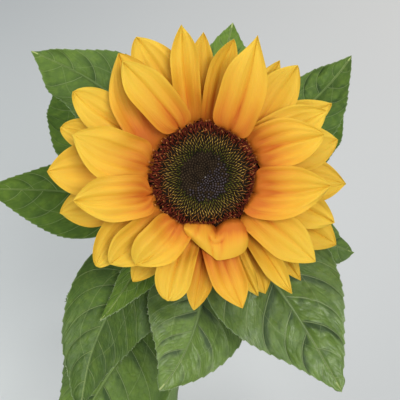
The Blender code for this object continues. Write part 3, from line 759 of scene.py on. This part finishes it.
# name, seat, angle, rise, droop, petiole, blade, width, swing, roll as the solids have them;
# then fold in degrees, wave in mm, quilt in mm, sag (share of the half-width), tone and finish
leaves = (
    ("leaf_upper_left", 432, -135, 27, -2, 34, 92, 57, 12, 20, 10, 2, 1.1, 0.05, 0.36, "soft"),
    ("leaf_upper_back", 420, 168, 44, 15, 29, 71, 48, 0, 2, 14, 1.2, 1.3, 0.05, 0.95, "soft"),
    ("leaf_upper_right", 423, 124, 19, 3, 35, 89, 46, 29, -20, 14, 1.8, 2.4, 0.05, 0, "soft"),
    ("leaf_small_front", 408, -30, 11, -30, 29, 55, 23, -14, 0, 24, 0.6, 0.8, 0, 0.34, "dull"),
    ("leaf_front_right", 405, 30, 23, -40, 40, 96, 66, 10, -21, 12, 1.8, 3.6, 0.12, 0.72, "glossy"),
    ("leaf_right", 398, 73, 10, -17, 31, 55.5, 55, 5, -13, 16, 1.6, 2.6, 0.1, 0.18, "satin"),
    ("leaf_left", 391, -103, 12, -9, 30, 88, 49, 5, 26, 13, 1.4, 1.3, 0.08, 0.24, "dull"),
    ("leaf_front", 388, 12, -3, -21, 28, 73, 57, -58, 18, 9, 1.4, 1.7, 0.12, 1.1, "glossy"),
    ("leaf_back_right", 384, 121, 8, 4, 33, 89, 35, 27, 19, 12, 1.8, 2, 0.08, 0.1, "dull"),
    ("leaf_back_left", 376, -139, 25, -12, 35, 107, 64, -9, -8, 12, 2, 1.2, 0.1, 0.1, "dull"),
    ("leaf_front_left", 375, -38, 27, -40, 38, 89, 54, 30, 45, 10, 1.6, 0.9, 0.08, 0.05, "satin"),
    ("leaf_low_front", 328, -34, 4, -52, 30, 97, 76, -9, 0, 12, 2, 2, 0.1, 0.85, "satin"),
    ("leaf_low_right", 300, 130, 5, -40, 45, 105, 76, 0, 0, 12, 2.2, 1.3, 0.1, 0.35, "satin"),
    ("leaf_low_left", 268, -150, 5, -45, 43, 99, 78, 0, 0, 12, 2.2, 1.3, 0.1, 0.3, "satin"),
    ("leaf_low_back", 236, 172, 5, -45, 45, 108, 78, 0, 0, 12, 2.2, 1.3, 0.1, 0.35, "satin"),
    ("leaf_foot_right", 205, 75, 0, -50, 45, 98, 76, 0, 0, 12, 2.2, 1.3, 0.1, 0.3, "satin"),
    ("leaf_foot_left", 196, -52, 5, -48, 45, 102, 76, 0, 0, 12, 2.2, 1.3, 0.1, 0.35, "satin"),
    ("leaf_foot_back", 172, -152, 10, -45, 40, 92, 68, 0, 0, 12, 2.2, 1.3, 0.1, 0.3, "satin"),
)


def leafMaterial(finish):
    # across and lateral are in mm from the midrib and from the strong side vein, phase counts
    # the side veins, and relief is above nought on the puffs between them, where it paints a
    # highlight, and below nought in the painted shade beside each side vein
    name = "leaf_" + finish
    if name in bpy.data.materials:
        return bpy.data.materials[name]
    startMaterial(name)
    edge, under, across, phase, lateral, relief = (readAttribute(key) for key in (
        "edge", "under", "across", "phase", "lateral", "relief"))
    # painted shade: each leaf darker towards its base, from 0.4 of its tone up to full tone past 0.6 of the
    # blade
    tone = readAttribute("tone") * readAttribute("ripe")

    def line(distance, inner, outer):        # 1 on a line, 0 beyond outer
        return calculate("ABSOLUTE", distance).spread(1.0, 0.0, inner, outer)
    half = calculate("ABSOLUTE", calculate("FRACT", phase) - 0.5)
    vein = calculate("MAXIMUM", line(calculate("SUBTRACT", 0.5, half), 0.006, 0.022) * 0.65,
                     line(lateral, 0.08, 0.32) * 0.28)
    midrib = line(across, 0.16, 0.44) * 0.9
    wander = noise(130.0, 1.0)
    grid = addNode("ShaderNodeCombineXYZ", {0: phase * 3.8 + wander.spread(-0.5, 0.5),
                                            1: across * 0.27 + wander})
    cells = addNode("ShaderNodeTexVoronoi", {"Vector": grid, "Scale": 1.0, "Randomness": 0.85}, "Distance",
                    feature="DISTANCE_TO_EDGE", voronoi_dimensions="2D")
    pillow = cells.spread(0.0, 1.0, 0.0, 0.35, interpolation_type="SMOOTHSTEP")
    cloud = noise(48.0, 4.0, 0.6)
    lumps = noise(210.0, 2.0, 0.5)
    mottle = noise(800.0, 2.0, 0.6)
    # painted shade, strongest in the band beside each side vein
    channelShade = calculate("MULTIPLY", relief, -1.45, clamp=True)
    colour = blend(tone, colourRamp(cloud, (0.32, 0.026, 0.06, 0.004), (0.68, 0.076, 0.148, 0.01)),
                   blend(cloud, (0.116, 0.22, 0.016), (0.19, 0.3, 0.028)))
    for share, layer in (
            (mottle.spread(0.0, 0.3), (0.014, 0.044, 0.003)),
            # lighter on the tops of the fine lumps and darker in their dips: painted light and shade that
            # follow the bump
            (lumps.spread(0.0, 0.3, 0.5, 0.66), (0.17, 0.26, 0.022)),
            (lumps.spread(0.0, 0.34, 0.5, 0.34), (0.016, 0.048, 0.004)),
            # pale patches: a painted sheen
            (noise(22.0, 2.0, 0.5).spread(-0.25, 0.3), (0.18, 0.245, 0.026)),
            # painted shade in the seams between the small quilted cells
            (calculate("SUBTRACT", 0.16, pillow * 0.3, clamp=True), (0.012, 0.036, 0.003)),
            # painted shade in the vein bands, then a painted highlight on the puffs
            (channelShade, (0.012, 0.034, 0.003)),
            (calculate("MULTIPLY", relief, 0.75, clamp=True), (0.14, 0.22, 0.03)),
            (line(cells, 0.01, 0.05) * 0.2, (0.17, 0.245, 0.03)),
            (vein * 0.85, (0.35, 0.43, 0.17)),
            (midrib, (0.5, 0.57, 0.21)),
            (edge * 0.6, (0.24, 0.32, 0.15)),
            (under.spread(0.28, 0.6), (0.12, 0.195, 0.066))):
        colour = blend(share, colour, layer)
    gloss = calculate("ADD", mottle.spread(0.44, 0.56) + under * 0.1, channelShade * 0.3, clamp=True)
    height = pillow * 0.16 + lumps * 0.55 + mottle * 0.12 - vein * 0.3
    return shade(colour, gloss, leafHabit["shine"][finish], (height, 1.0, 0.8), (0.05, (0.5, 0.8, 0.2), 0.8))


def leafMidline(seat, angle, rise, droop, length, swing, roll):
    # a path that leaves the stem at rise and ends at droop, turning by swing; its sideways
    # and upward directions roll with it
    along = linspace(0, 1, 801)
    along = np.interp(seat * mm, stemPoints(along)[:, 2], along)
    share = linspace(0, 1, 301)
    tilt = radians(rise + (droop - rise) * smoothStep(share))
    turn = radians(angle + swing * share ** 1.5)
    outward = vectors(cos(tilt) * sin(turn), -cos(tilt) * cos(turn), sin(tilt))
    level = vectors(sin(turn[0]), -cos(turn[0]), 0.0)
    clear = stemRadius(along) + (0.5 + 1.6 * abs(sin(tilt[0]))) * mm
    points = stemPoints(along) + clear * level + runningSum(outward) * length * mm
    side = vectors(cos(turn), sin(turn), 0.0)
    upward = cross(side, outward)
    lean = radians(roll) * smoothStep(share / 0.6)[:, None]
    lines = points, side * cos(lean) + upward * sin(lean), upward * cos(lean) - side * sin(lean)

    def read(place):                         # points, sideways and upward directions at a share of it
        return [vectors(*(np.interp(place, share, part) for part in line.T)) for line in lines]
    return read, stemPoints(along)


def leafSheet(number, name, read, neck, blade, width, fold, wave, quilt, sag):
    # rows climb towards the margin as the side veins do, so that a vein is a row of the grid.
    # half-width = W/2 sin(pi t^belly)^fullness, trimmed, with saw teeth at the margin.
    # height off the midline = fold |x| - sag x^2 + wave at the margin + quilt between the veins
    # - furrows along the veins
    habit = leafHabit
    tau = linspace(0, 1, habit["veins"] * habit["rowsPerVein"] + 1)[:, None]
    v = linspace(-1, 1, habit["columns"])
    v = v - 0.1 * sin(2 * pi * v)        # closer columns beside the midrib and the margins
    a = abs(v)
    b = tau ** 1.25 + 0.011 * sin(2 * pi * (3.1 * tau + 0.37 * number)) * sin(pi * tau)
    along = b ** (1 - habit["climb"] * a ** 1.1)
    outline = sin(pi * clip(along, 0, 1) ** habit["belly"])
    halfWidth = width * mm / 2 * clip(outline, 0, 1) ** habit["fullness"] + 0.2 * mm
    for half, middle, breadth, factor in habit["trims"].get(name, ()):
        halfWidth = halfWidth * np.where(np.sign(v) == half, 1 + (factor - 1) * bell(b - middle, breadth), 1)
    teeth = along * blade * mm / (habit["toothPitch"] * (0.8 + 0.4 * width / 76))
    teeth = (teeth + 0.13 * ripple(3 * along, v, 60 + number)) % 1.0
    reachOut = habit["toothDepth"] * (0.5 + 0.5 * width / 76) * smoothStep(b / 0.12) * (1 - b) ** 0.4
    tooth = teeth ** 1.4 * (1 - smoothStep((teeth - 0.82) / 0.18))
    x = v * halfWidth + np.sign(v) * reachOut * (tooth - 0.35) * a ** 10
    lobe = 0.055 * a ** 2 * (1 - clip(b / 0.22, 0, 1)) ** 3
    y = along - lobe + reachOut * tooth * a ** 10 / (blade * mm)
    centre, side, lift = read(neck + (1 - neck) * y)
    angle = radians(fold) * smoothStep(b / 0.15)
    veinPhase = tau * habit["veins"] + np.where(v < 0, 0.0, 8 / habit["rowsPerVein"])
    pastVein = (veinPhase + 1e-9) % 1.0
    fromMidrib = a * halfWidth
    inner = smoothStep(fromMidrib / (3.5 * mm)) * (1 - a ** 5)
    endFade = sin(pi * clip(b, 0.02, 0.98)) ** 0.5
    nearTip = smoothStep((1 - b) / 0.42)
    nearCross = abs((fromMidrib / (7.5 * mm) + 0.3 * ripple(2 * b, 2 * v, 90 + number)) % 1.0 - 0.5) * 2
    puff = sin(pi * pastVein ** 0.62) * (1 - 0.3 * nearCross ** 3)
    puff = puff * (0.75 + 0.35 * ripple(2.5 * b, 1.5 * v, 30 + number))
    toLateral = (a - 0.3 - 0.34 * along) * halfWidth
    lateralFade = 1 - smoothStep((along - 0.55) / 0.25)
    blister = ripple(x / (6 * mm), along * blade / 6, 200 + number, 7)
    waves = (wave * a ** 2 * sin(2 * pi * (1.3 * along + 0.17 * number) + 1.3 * v)
             + 0.5 * wave * a ** 3 * sin(2 * pi * (3.1 * along + 0.31 * number) - v))
    furrow = ((0.25 + 0.14 * quilt) * bell(x, 0.9 * mm) * (1 - 0.5 * b)
              + (0.2 + 0.3 * quilt) * bell(toLateral, 0.9 * mm) * lateralFade * endFade)
    height = (waves * endFade + 0.8 * ripple(1.1 * b, 0.6 * v, 10 + number) * smoothStep(b / 0.3)
              + (quilt * puff * endFade * nearTip + 0.16 * quilt ** 0.5 * blister) * inner - furrow) * mm
    height = height + abs(x) * sin(angle) - sag * x ** 2 / (width * mm / 2)
    sheet = centre + side * (x * cos(angle))[..., None] + lift * height[..., None]
    # painted shade and highlight for the material: a dark band on the tip side of each side vein, lighter on
    # the puffs and blisters
    shadeBand = bell(pastVein, 0.33) * (0.6 + 0.75 * ripple(2.2 * b, 1.3 * v, 130 + number))
    relief = clip(quilt / 2.2, 0.35, 1.4) * (0.42 * puff - 1.4 * shadeBand + 0.24 * blister)
    relief = relief * smoothStep(fromMidrib / (2.2 * mm)) * (1 - a ** 3) * endFade * nearTip
    marks = {"across": x / mm, "phase": veinPhase, "lateral": toLateral / mm + 9 * (1 - lateralFade),
             "edge": bell((1 - a) * halfWidth, 0.35 * mm), "relief": relief,
             # painted shade towards the base of the blade
             "ripe": 0.4 + 0.6 * smoothStep(b / 0.6) + 0 * a}
    return sheet, marks, a, (b[:, 0], height[:, habit["columns"] // 2])


def petioleTube(read, centre, neck, length, width, furrow):
    # the petiole runs on under the blade as its midrib, thinning to the tip and lying as deep
    # as its own radius and the furrow above it
    place = linspace(neck, 0.96, leafHabit["midribRows"])[1:]
    place = join((linspace(0, neck, leafHabit["petioleRows"]), place))
    path, _, lifted = read(place)
    past = clip((place - neck) / (1 - neck), 0, 1)
    radius = leafHabit["petioleRadius"] * (1 - 0.78 * smoothStep(past / 0.8)) * (0.8 + 0.2 * width / 76)
    radius = radius * (1 + 0.9 * exp(-place * length / 5.0))
    drop = radius * 0.95 * smoothStep((place - neck + 0.05) / 0.08) - np.interp(past, *furrow) * (past > 0)
    path = path - lifted * drop[:, None]
    path = join((centre[None] + 0.45 * (path[0] - centre), path))
    radius = join((radius[:1] * 1.05, radius))
    return path, radius, tube(path, radius, leafHabit["petioleSides"], worldUp)


def buildLeaves():                   # each leaf is one piece: blade skin, then petiole and midrib
    hairs = []
    thin = leafHabit["edgeThick"] / leafHabit["halfThick"]
    for number, (name, seat, angle, rise, droop, petiole, blade, width, swing, roll,
                 fold, wave, quilt, sag, tone, finish) in enumerate(leaves):
        length = petiole + blade
        neck = petiole / length
        read, centre = leafMidline(seat, angle, rise, droop, length, swing, roll)
        sheet, marks, a, furrow = leafSheet(number, name, read, neck, blade, width, fold, wave, quilt, sag)
        points, quads, upper = thinShell(      # its normals point down
            sheet, leafHabit["halfThick"] * (thin + (1 - thin) * (1 - a ** 4)))
        path, radius, (rib, ribQuads, ribCaps) = petioleTube(read, centre, neck, length, width, furrow)
        start = len(points)
        mesh = makePiece(name + "_blade", "leaves", leafMaterial(finish), join((points, rib)),
                         join((quads, ribQuads + start)), ribCaps + start, (name,), crisp=65)
        extra = np.ones(len(rib))
        for mark, values in marks.items():
            onRib = extra * (0.0 if mark in ("edge", "relief") else 0.4)
            setAttribute(mesh, mark, join((values.ravel(), values.ravel(), onRib)))
        setAttribute(mesh, "under", join((1 - upper, 0.5 * extra)))
        setAttribute(mesh, "tone", np.full(start + len(rib), tone))
        rng = default_rng(70 + number)
        hairs += marginHairs(rng, sheet, (4, len(sheet) - 2, leafHabit["marginHairs"]), 0.5, 0.3)
        stations = rng.integers(2, leafHabit["petioleRows"], leafHabit["petioleHairs"])
        around = unit(rng.normal(size=(len(stations), 3)))
        hairs.append((path[stations] + around * (radius[stations] * 0.9)[:, None], around))
    print("leaves:", len(leaves))
    makeHairs("leaf_hairs", "leaves", hairs, default_rng(5), (0.5, 1.1), leafHabit["hairRadius"])


# seed disc

disc = {
    "florets": 960, "reach": 23.3 * mm,      # how many, and the feet of the outermost
    "packing": 0.58,                 # power of the spiral: above 0.5 the middle is closer packed
    "bedRadius": 23.6 * mm, "bedRings": 40, "sink": 0.7 * mm,       # feet below the dish's surface
    "bedFoot": ((0.0, -0.4), (23.0, -0.5), (27.0, -4.4), (27.8, -4.4), (25.6, -1.6)),      # mm
    "freeReach": 29.0 * mm,          # how far florets lean out between the petals
    # mm: buds, green buds, green, olive and tawny chaff, open florets
    "zones": (0.0, 11.4, 13.2, 16.0, 18.3, 20.2),
    "zoneHeights": (0.9, 1.0, 1.15, 1.3, 1.45, 1.85),
    # sheenFrom: the side of the middle, in degrees clockwise from the top, whose buds take a painted sheen
    "leanMiddle": 8, "leanEdge": 70, "sheenFrom": 135,      # degrees
    "sheenShare": 0.72, "rustShare": 0.42, "chaffLength": 1.55,
    # dark, light, roughness and specular level
    "finishes": {
        "disc_bed_brown": ((0.008, 0.006, 0.004), (0.026, 0.016, 0.009), 0.85),
        "bud_dark": ((0.021, 0.013, 0.007), (0.068, 0.046, 0.024), 0.5),
        # purple grey buds: a painted sheen
        "bud_sheen": ((0.024, 0.017, 0.021), (0.088, 0.07, 0.084), 0.3, 0.38),
        "bud_glint": ((0.3, 0.27, 0.25), (0.62, 0.58, 0.54), 0.3, 0.5),
        "bud_green": ((0.012, 0.015, 0.003), (0.046, 0.056, 0.008), 0.5),
        "floret_shade": ((0.022, 0.014, 0.004), (0.062, 0.037, 0.01), 0.6),
        "chaff_green": ((0.165, 0.142, 0.016), (0.43, 0.35, 0.046), 0.6),
        "chaff_olive": ((0.44, 0.262, 0.036), (0.8, 0.52, 0.104), 0.6),
        "chaff_tawny": ((0.37, 0.128, 0.02), (0.76, 0.335, 0.068), 0.6),
        "floret_maroon": ((0.066, 0.01, 0.005), (0.225, 0.036, 0.016), 0.6),
        "stamen_brown": ((0.02, 0.003, 0.003), (0.065, 0.012, 0.008), 0.6),
        "stigma_rust": ((0.4, 0.11, 0.024), (0.76, 0.33, 0.092), 0.6)},
    # sides, lobes, the rings cut into lobes, then each ring's radius and height
    "cups": {
        "bud": (7, 5, (), (0.62, -0.1), (0.68, 0.6), (0.48, 0.98), (0.2, 1.1)),
        "greenBud": (8, 5, (2,), (0.52, -0.1), (0.62, 0.7), (0.44, 1.0), (0.24, 1.05), (0.16, 0.8)),
        "shadeTube": (8, 5, (), (0.45, -0.1), (0.5, 0.55), (0.4, 0.72), (0.22, 0.55)),
        "openTube": (10, 5, (2, 3), (0.3, -0.2), (0.36, 0.7), (0.66, 1.02), (0.56, 1.1), (0.32, 0.85),
                     (0.24, 0.4)),
        "stamens": (6, 5, (), (0.14, 0.3), (0.18, 1.1), (0.13, 1.34), (0.05, 1.42))},
}


def discHeight(radius):
    # a shallow dish: 3.2 mm high in the middle, 5.5 mm at its shoulder, falling away outside
    r = radius / mm
    return (3.2 + 2.3 * smoothStep(r / 17.0) - 3.6 * smoothStep((r - 19.0) / 6.0)) * mm


def lobedCup(sides, lobes, lobed, *rings):
    # a closed tube of rings of (radius, height), some of them cut into lobes
    angle = circle(sides)
    layers = []
    for index, (radius, height) in enumerate(rings):
        wave = cos(lobes * angle) * (index in lobed)
        wide = radius * (1 + 0.18 * wave)
        layers.append(vectors(wide * cos(angle), wide * sin(angle), height + 0.22 * wave))
    points, quads, caps = capped(array(layers), [(0, 0, rings[0][1]), (0, 0, rings[-1][1])])
    return points, join((splitQuads(quads), caps))


def curledThreads():
    # two stigmas: slim threads that rise and curl outwards to opposite sides
    t = linspace(0, 1, 6)
    path = vectors(0.15 * t + 0.42 * sin(2.6 * t) * t, 0.05 * sin(3 * t), 0.55 + 1.0 * t - 0.75 * t ** 2.5)
    halves = []
    for way in (1, -1):
        points, quads, caps = tube(path * (way, way, 1), 0.12 * (1 - 0.4 * t), 4, array((0.0, 1.0, 0.001)))
        halves.append((points, join((splitQuads(quads), caps)) + len(halves) * len(points)))
    points, triangles = (join(part) for part in zip(*halves))
    return points * (1.1, 1.1, 0.9) + (0, 0, 0.62), triangles


def chaffBlade(width, tip):
    # a pointed scale: long outwards, ridged, rising to its tip
    points = (-0.55, 0, 0.1), (0, width, 0.45), (0, -width, 0.45), (-0.05, 0, 0.7), (0, 0, 0.2), tip
    faces = (0, 1, 4), (4, 2, 0), (3, 1, 0), (0, 2, 3), (5, 1, 3), (3, 2, 5), (4, 1, 5), (5, 2, 4)
    return array(points), array(faces)


def floretLimit(angle):
    # how far from the axis a floret may reach: to the broad foot of an inner petal where one
    # stands, further out between them
    limit = np.full(len(angle), disc["freeReach"])
    for number, (tipAngle, _, width, row, lean, *_) in enumerate(petals, start=1):
        if row > 1:
            continue
        seat = petalHabit["seatRadius"] + petalHabit["seatStep"] * row
        seat = seat + petalHabit["seatShift"].get(number, 0.0) * mm
        half = 0.45 * width * mm / seat
        away = abs((angle - radians(tipAngle + lean) + pi) % (2 * pi) - pi)
        scallop = seat + 3.0 * mm * smoothStep((away / half - 0.6) / 0.4)
        limit = np.where(away < half, np.minimum(limit, scallop), limit)
    return limit


def buildDisc():
    # florets stand on a golden-angle spiral: the k-th foot at reach (k / count)^packing, turned
    # k times the golden angle, leaning outwards more and more towards the edge
    radii = linspace(disc["bedRadius"], 0.0, disc["bedRings"])
    bed = join((array(disc["bedFoot"]) * mm, vectors(radii, discHeight(radii) - disc["sink"])))
    materials = {name: floretMaterial(name, *finish) for name, finish in disc["finishes"].items()}
    makePiece("disc_bed", "disc", materials["disc_bed_brown"],
              *turned(bed, 96, None, head["centre"], headAxes), ("disc",))

    rng = default_rng(2)
    count = disc["florets"]
    share = (arange(count) + 0.5) / count
    angle = arange(count) * golden
    radius = disc["reach"] * share ** disc["packing"]
    spacing = 1.07 * np.sqrt(2 * pi * radius * np.gradient(radius))    # between neighbouring florets
    radius = radius + rng.normal(0, 0.04, count) * mm * (1 + 2 * share)
    zone = np.digitize(radius / mm + rng.normal(0, 0.5, count), disc["zones"]) - 1
    zone = clip(zone, 0, 5)
    loose = smoothStep((radius / disc["reach"] - 0.8) / 0.2)
    tall = array(disc["zoneHeights"])[zone] * (1 + 0.75 * loose) * rng.uniform(0.85, 1.15, count) * mm
    lean = radians(disc["leanMiddle"]) * share + radians(disc["leanEdge"]) * loose
    lean = lean + rng.normal(0, 0.04, count) + rng.normal(0, 0.16, count) * loose
    lean = np.minimum(lean, np.arcsin(clip((floretLimit(angle) - radius) / (1.45 * tall), -0.2, 1)))
    outward = vectors(sin(angle), cos(angle)) @ headAxes[:2]
    up = cos(lean)[:, None] * headFacing + sin(lean)[:, None] * outward
    sideways = unit(cross(up, outward))
    foot = onHead(radius, angle, discHeight(radius) - disc["sink"])
    sizes = vectors(spacing * 0.5, spacing * 0.5, tall)

    def turnedAxes(spin):
        right = cos(spin)[:, None] * cross(sideways, up) + sin(spin)[:, None] * sideways
        return np.stack((right, cross(up, right), up), axis=1)
    anyTurn = turnedAxes(rng.uniform(0, 2 * pi, count))
    nearRadial, ragged, otherRagged = (turnedAxes(rng.normal(middle, breadth, count))
                                       for middle, breadth in ((0, 0.3), (0, 0.7), (0.5, 1.2)))
    shapes = {name: lobedCup(*cup) for name, cup in disc["cups"].items()}
    shapes["chaff"] = chaffBlade(0.27, (1.05, 0.1, 1.14))
    shapes["raggedChaff"] = chaffBlade(0.2, (1.3, 0.2, 1.25))
    shapes["threads"] = curledThreads()

    # buds on the lower right of the middle are painted with a purple grey sheen
    sheenSide = cos(angle - radians(disc["sheenFrom"])) + rng.normal(0, 0.15, count) > 0.12
    rusty = rng.uniform(size=count) < disc["rustShare"]
    sheened = (zone == 0) & sheenSide & (radius > 1.2 * mm) & (rng.uniform(size=count) < disc["sheenShare"])
    # one bud near the middle is a painted glint
    glint = arange(count) == 1
    for name, shape, axes, where, finish in (
            ("buds", "bud", anyTurn, (zone == 0) & ~sheened & ~glint, "bud_dark"),
            ("sheen_buds", "bud", anyTurn, sheened, "bud_sheen"),
            ("glint_bud", "bud", anyTurn, glint, "bud_glint"),
            ("green_buds", "greenBud", anyTurn, zone == 1, "bud_green"),
            ("tubes", "shadeTube", anyTurn, (zone > 1) & (zone < 5), "floret_shade"),
            ("green_chaff", "chaff", nearRadial, (zone == 1) | (zone == 2), "chaff_green"),
            ("olive_chaff", "chaff", nearRadial, zone == 3, "chaff_olive"),
            ("tawny_chaff", "raggedChaff", ragged, zone == 4, "chaff_tawny"),
            ("open_florets", "openTube", anyTurn, zone == 5, "floret_maroon"),
            ("stamens", "stamens", anyTurn, zone == 5, "stamen_brown"),
            ("stigmas", "threads", anyTurn, (zone == 5) & rusty, "stigma_rust"),
            ("dark_stigmas", "threads", anyTurn, (zone == 5) & ~rusty, "floret_maroon"),
            ("rust_chaff", "raggedChaff", ragged, (zone == 5) & ~rusty, "stigma_rust"),
            ("maroon_chaff", "raggedChaff", otherRagged, zone == 5, "floret_maroon")):
        chaff = "chaff" in name
        size = sizes[where] * ((disc["chaffLength"], 1.0, 1.0) if chaff else 1)
        points, triangles = scatter(shapes[shape], foot[where], axes[where], size)
        makePiece("disc_" + name, "disc", materials[finish], points, (), triangles, smooth=not chaff)
    print("florets:", count)


# pot and soil

pot = {
    "height": 120 * mm, "footRadius": 47 * mm, "topRadius": 63 * mm, "wall": 4 * mm,
    "floor": 6 * mm, "collarHeight": 26 * mm, "collarStandout": 4 * mm, "sides": 160,
    "rounding": 1.8 * mm, "step": 2.0 * mm,
    "turningPitch": 3.1 * mm, "turningDepth": 0.1, "wobble": 0.18,  # faint rings, in mm
}
soil = {
    "top": 106 * mm, "rings": 60, "sides": 120,
    # pieces of loose soil: how many, and their smallest and largest radius in mm
    "soil_crumbs": (1500, (0.5, 1.9)), "soil_perlite": (70, (0.7, 1.7)),
    "perlite": ((0.55, 0.54, 0.5), (0.78, 0.77, 0.73), 0.8),
}


def wallRadius(height):              # the outer wall is a plain cone
    return pot["footRadius"] + (pot["topRadius"] - pot["footRadius"]) * height / pot["height"]


def clayMaterial():
    startMaterial("terracotta")
    cloud = noise(22.0, 5.0, 0.6)
    grain = noise(1400.0, 2.0, 0.6)
    turning = noise(90.0, 3.0, 0.6, (0.05, 0.05, 3.0))
    bloom = coordinate(2).spread(0.75, 0.15, 0.0, 0.05) * noise(14.0, 6.0, 0.7).spread(0.0, 1.0, 0.48, 0.7)
    colour = blend(cloud, (0.47, 0.19, 0.095), (0.6, 0.27, 0.15))
    colour = blend(grain.spread(0.0, 0.35), colour, (0.33, 0.13, 0.07))
    return shade(blend(bloom, colour, (0.72, 0.6, 0.52)), cloud.spread(0.74, 0.92), 0.25,
                 (grain + turning, 0.3, 0.6))


def buildPot():                      # a profile with rounded corners, turned about the axis
    top, floor, wall, standout = (pot[key] for key in ("height", "floor", "wall", "collarStandout"))
    collarFoot = top - pot["collarHeight"]
    corners = array([
        (0.0, 0.0), (wallRadius(0.0), 0.0), (wallRadius(collarFoot), collarFoot),
        (wallRadius(collarFoot) + standout, collarFoot), (wallRadius(top) + standout, top),
        (wallRadius(top) - wall, top), (wallRadius(floor) - wall, floor), (0.0, floor)])
    profile = roundedProfile(corners, pot["rounding"], pot["step"])

    def relief(radius, height, angle):       # faint rings left by the turning, and a slight wobble
        outside = (radius > 30 * mm) & (height > 3 * mm) & (height < top - 2 * mm)
        rings = pot["turningDepth"] * sin(height / pot["turningPitch"] * 2 * pi)
        rings = rings + pot["wobble"] * sin(2 * angle + height * 20)
        return radius - outside * (0.28 - rings) * mm, height
    makePiece("pot_clay", "terracotta", clayMaterial(), *turned(profile, pot["sides"], relief), ("pot",))
    print("pot")


def pebble(seed, lumps=0.25):        # a little stone: a ball whose ring points move in or out
    rng = default_rng(seed)
    polar, angle = linspace(0, pi, 5)[1:-1, None], circle(8)
    ring = vectors(sin(polar) * cos(angle), sin(polar) * sin(angle), cos(polar))
    ring = ring * (1 + lumps * rng.uniform(-1, 1, (*ring.shape[:2], 1)))
    points, quads, caps = capped(ring, [(0, 0, 1), (0, 0, -1)])
    return points, join((splitQuads(quads[:, ::-1]), caps[:, [0, 2, 1]]))


def soilSurface(x, y):               # broad and small ripples, and a low mound round the stem
    bumps = ripple(x / (16 * mm), y / (16 * mm), 3) + 0.6 * ripple(x / (5 * mm), y / (5 * mm), 4)
    return soil["top"] + (bumps - 1.2 + 1.8 * bell(np.hypot(x, y), 14 * mm)) * mm


def soilMaterial():
    startMaterial("potting_soil")
    colour = colourRamp(noise(160.0, 5.0, 0.7), (0.3, 0.012, 0.008, 0.006),
                        (0.6, 0.04, 0.026, 0.017), (0.85, 0.09, 0.06, 0.038))
    return shade(colour, 0.95, 0.2, (noise(700.0, 4.0, 0.7), 0.8, 0.8))


def buildSoil():
    # a disc of rings whose heights follow the soil's bumps, closed by its wall and floor
    floor = pot["floor"] + 0.3 * mm
    outer = wallRadius(soil["top"]) - pot["wall"] - 0.5 * mm
    profile = [(0.0, floor), (wallRadius(floor) - pot["wall"] - 0.6 * mm, floor)]
    profile += [(radius, soil["top"]) for radius in linspace(outer, 0, soil["rings"])]

    def relief(radius, height, angle):
        top = height > soil["top"] - 0.1 * mm
        return radius, np.where(top, soilSurface(radius * cos(angle), radius * sin(angle)), height)
    material = soilMaterial()
    makePiece("soil_bed", "potting_soil", material, *turned(profile, soil["sides"], relief), ("soil",))
    rng = default_rng(8)
    for name, finish in (("soil_crumbs", material),
                         ("soil_perlite", floretMaterial("perlite_white", *soil["perlite"]))):
        count, size = soil[name]
        angle = rng.uniform(0, 2 * pi, count)
        reach = np.sqrt(rng.uniform(0.02, 1, count)) * (outer - 2 * mm)
        x, y = reach * cos(angle), reach * sin(angle)
        places = vectors(x, y, soilSurface(x, y) + 0.2 * mm)
        sizes = rng.uniform(*size, (count, 1)) * rng.uniform(0.6, 1.2, (count, 3)) * mm
        first = unit(rng.normal(size=(count, 3)))
        second = unit(cross(first, rng.normal(size=(count, 3))))
        axes = np.stack((first, second, cross(first, second)), axis=1)
        points, triangles = scatter(pebble(14), places, axes, sizes)
        makePiece(name, "potting_soil", finish, points, (), triangles, smooth=name == "soil_perlite")
    print("soil")


# everything together

for build in (setCamera, setStudio, buildPot, buildSoil, buildStem, buildCalyx, buildBracts, buildDisc,
              buildPetals, buildLeaves):
    build()
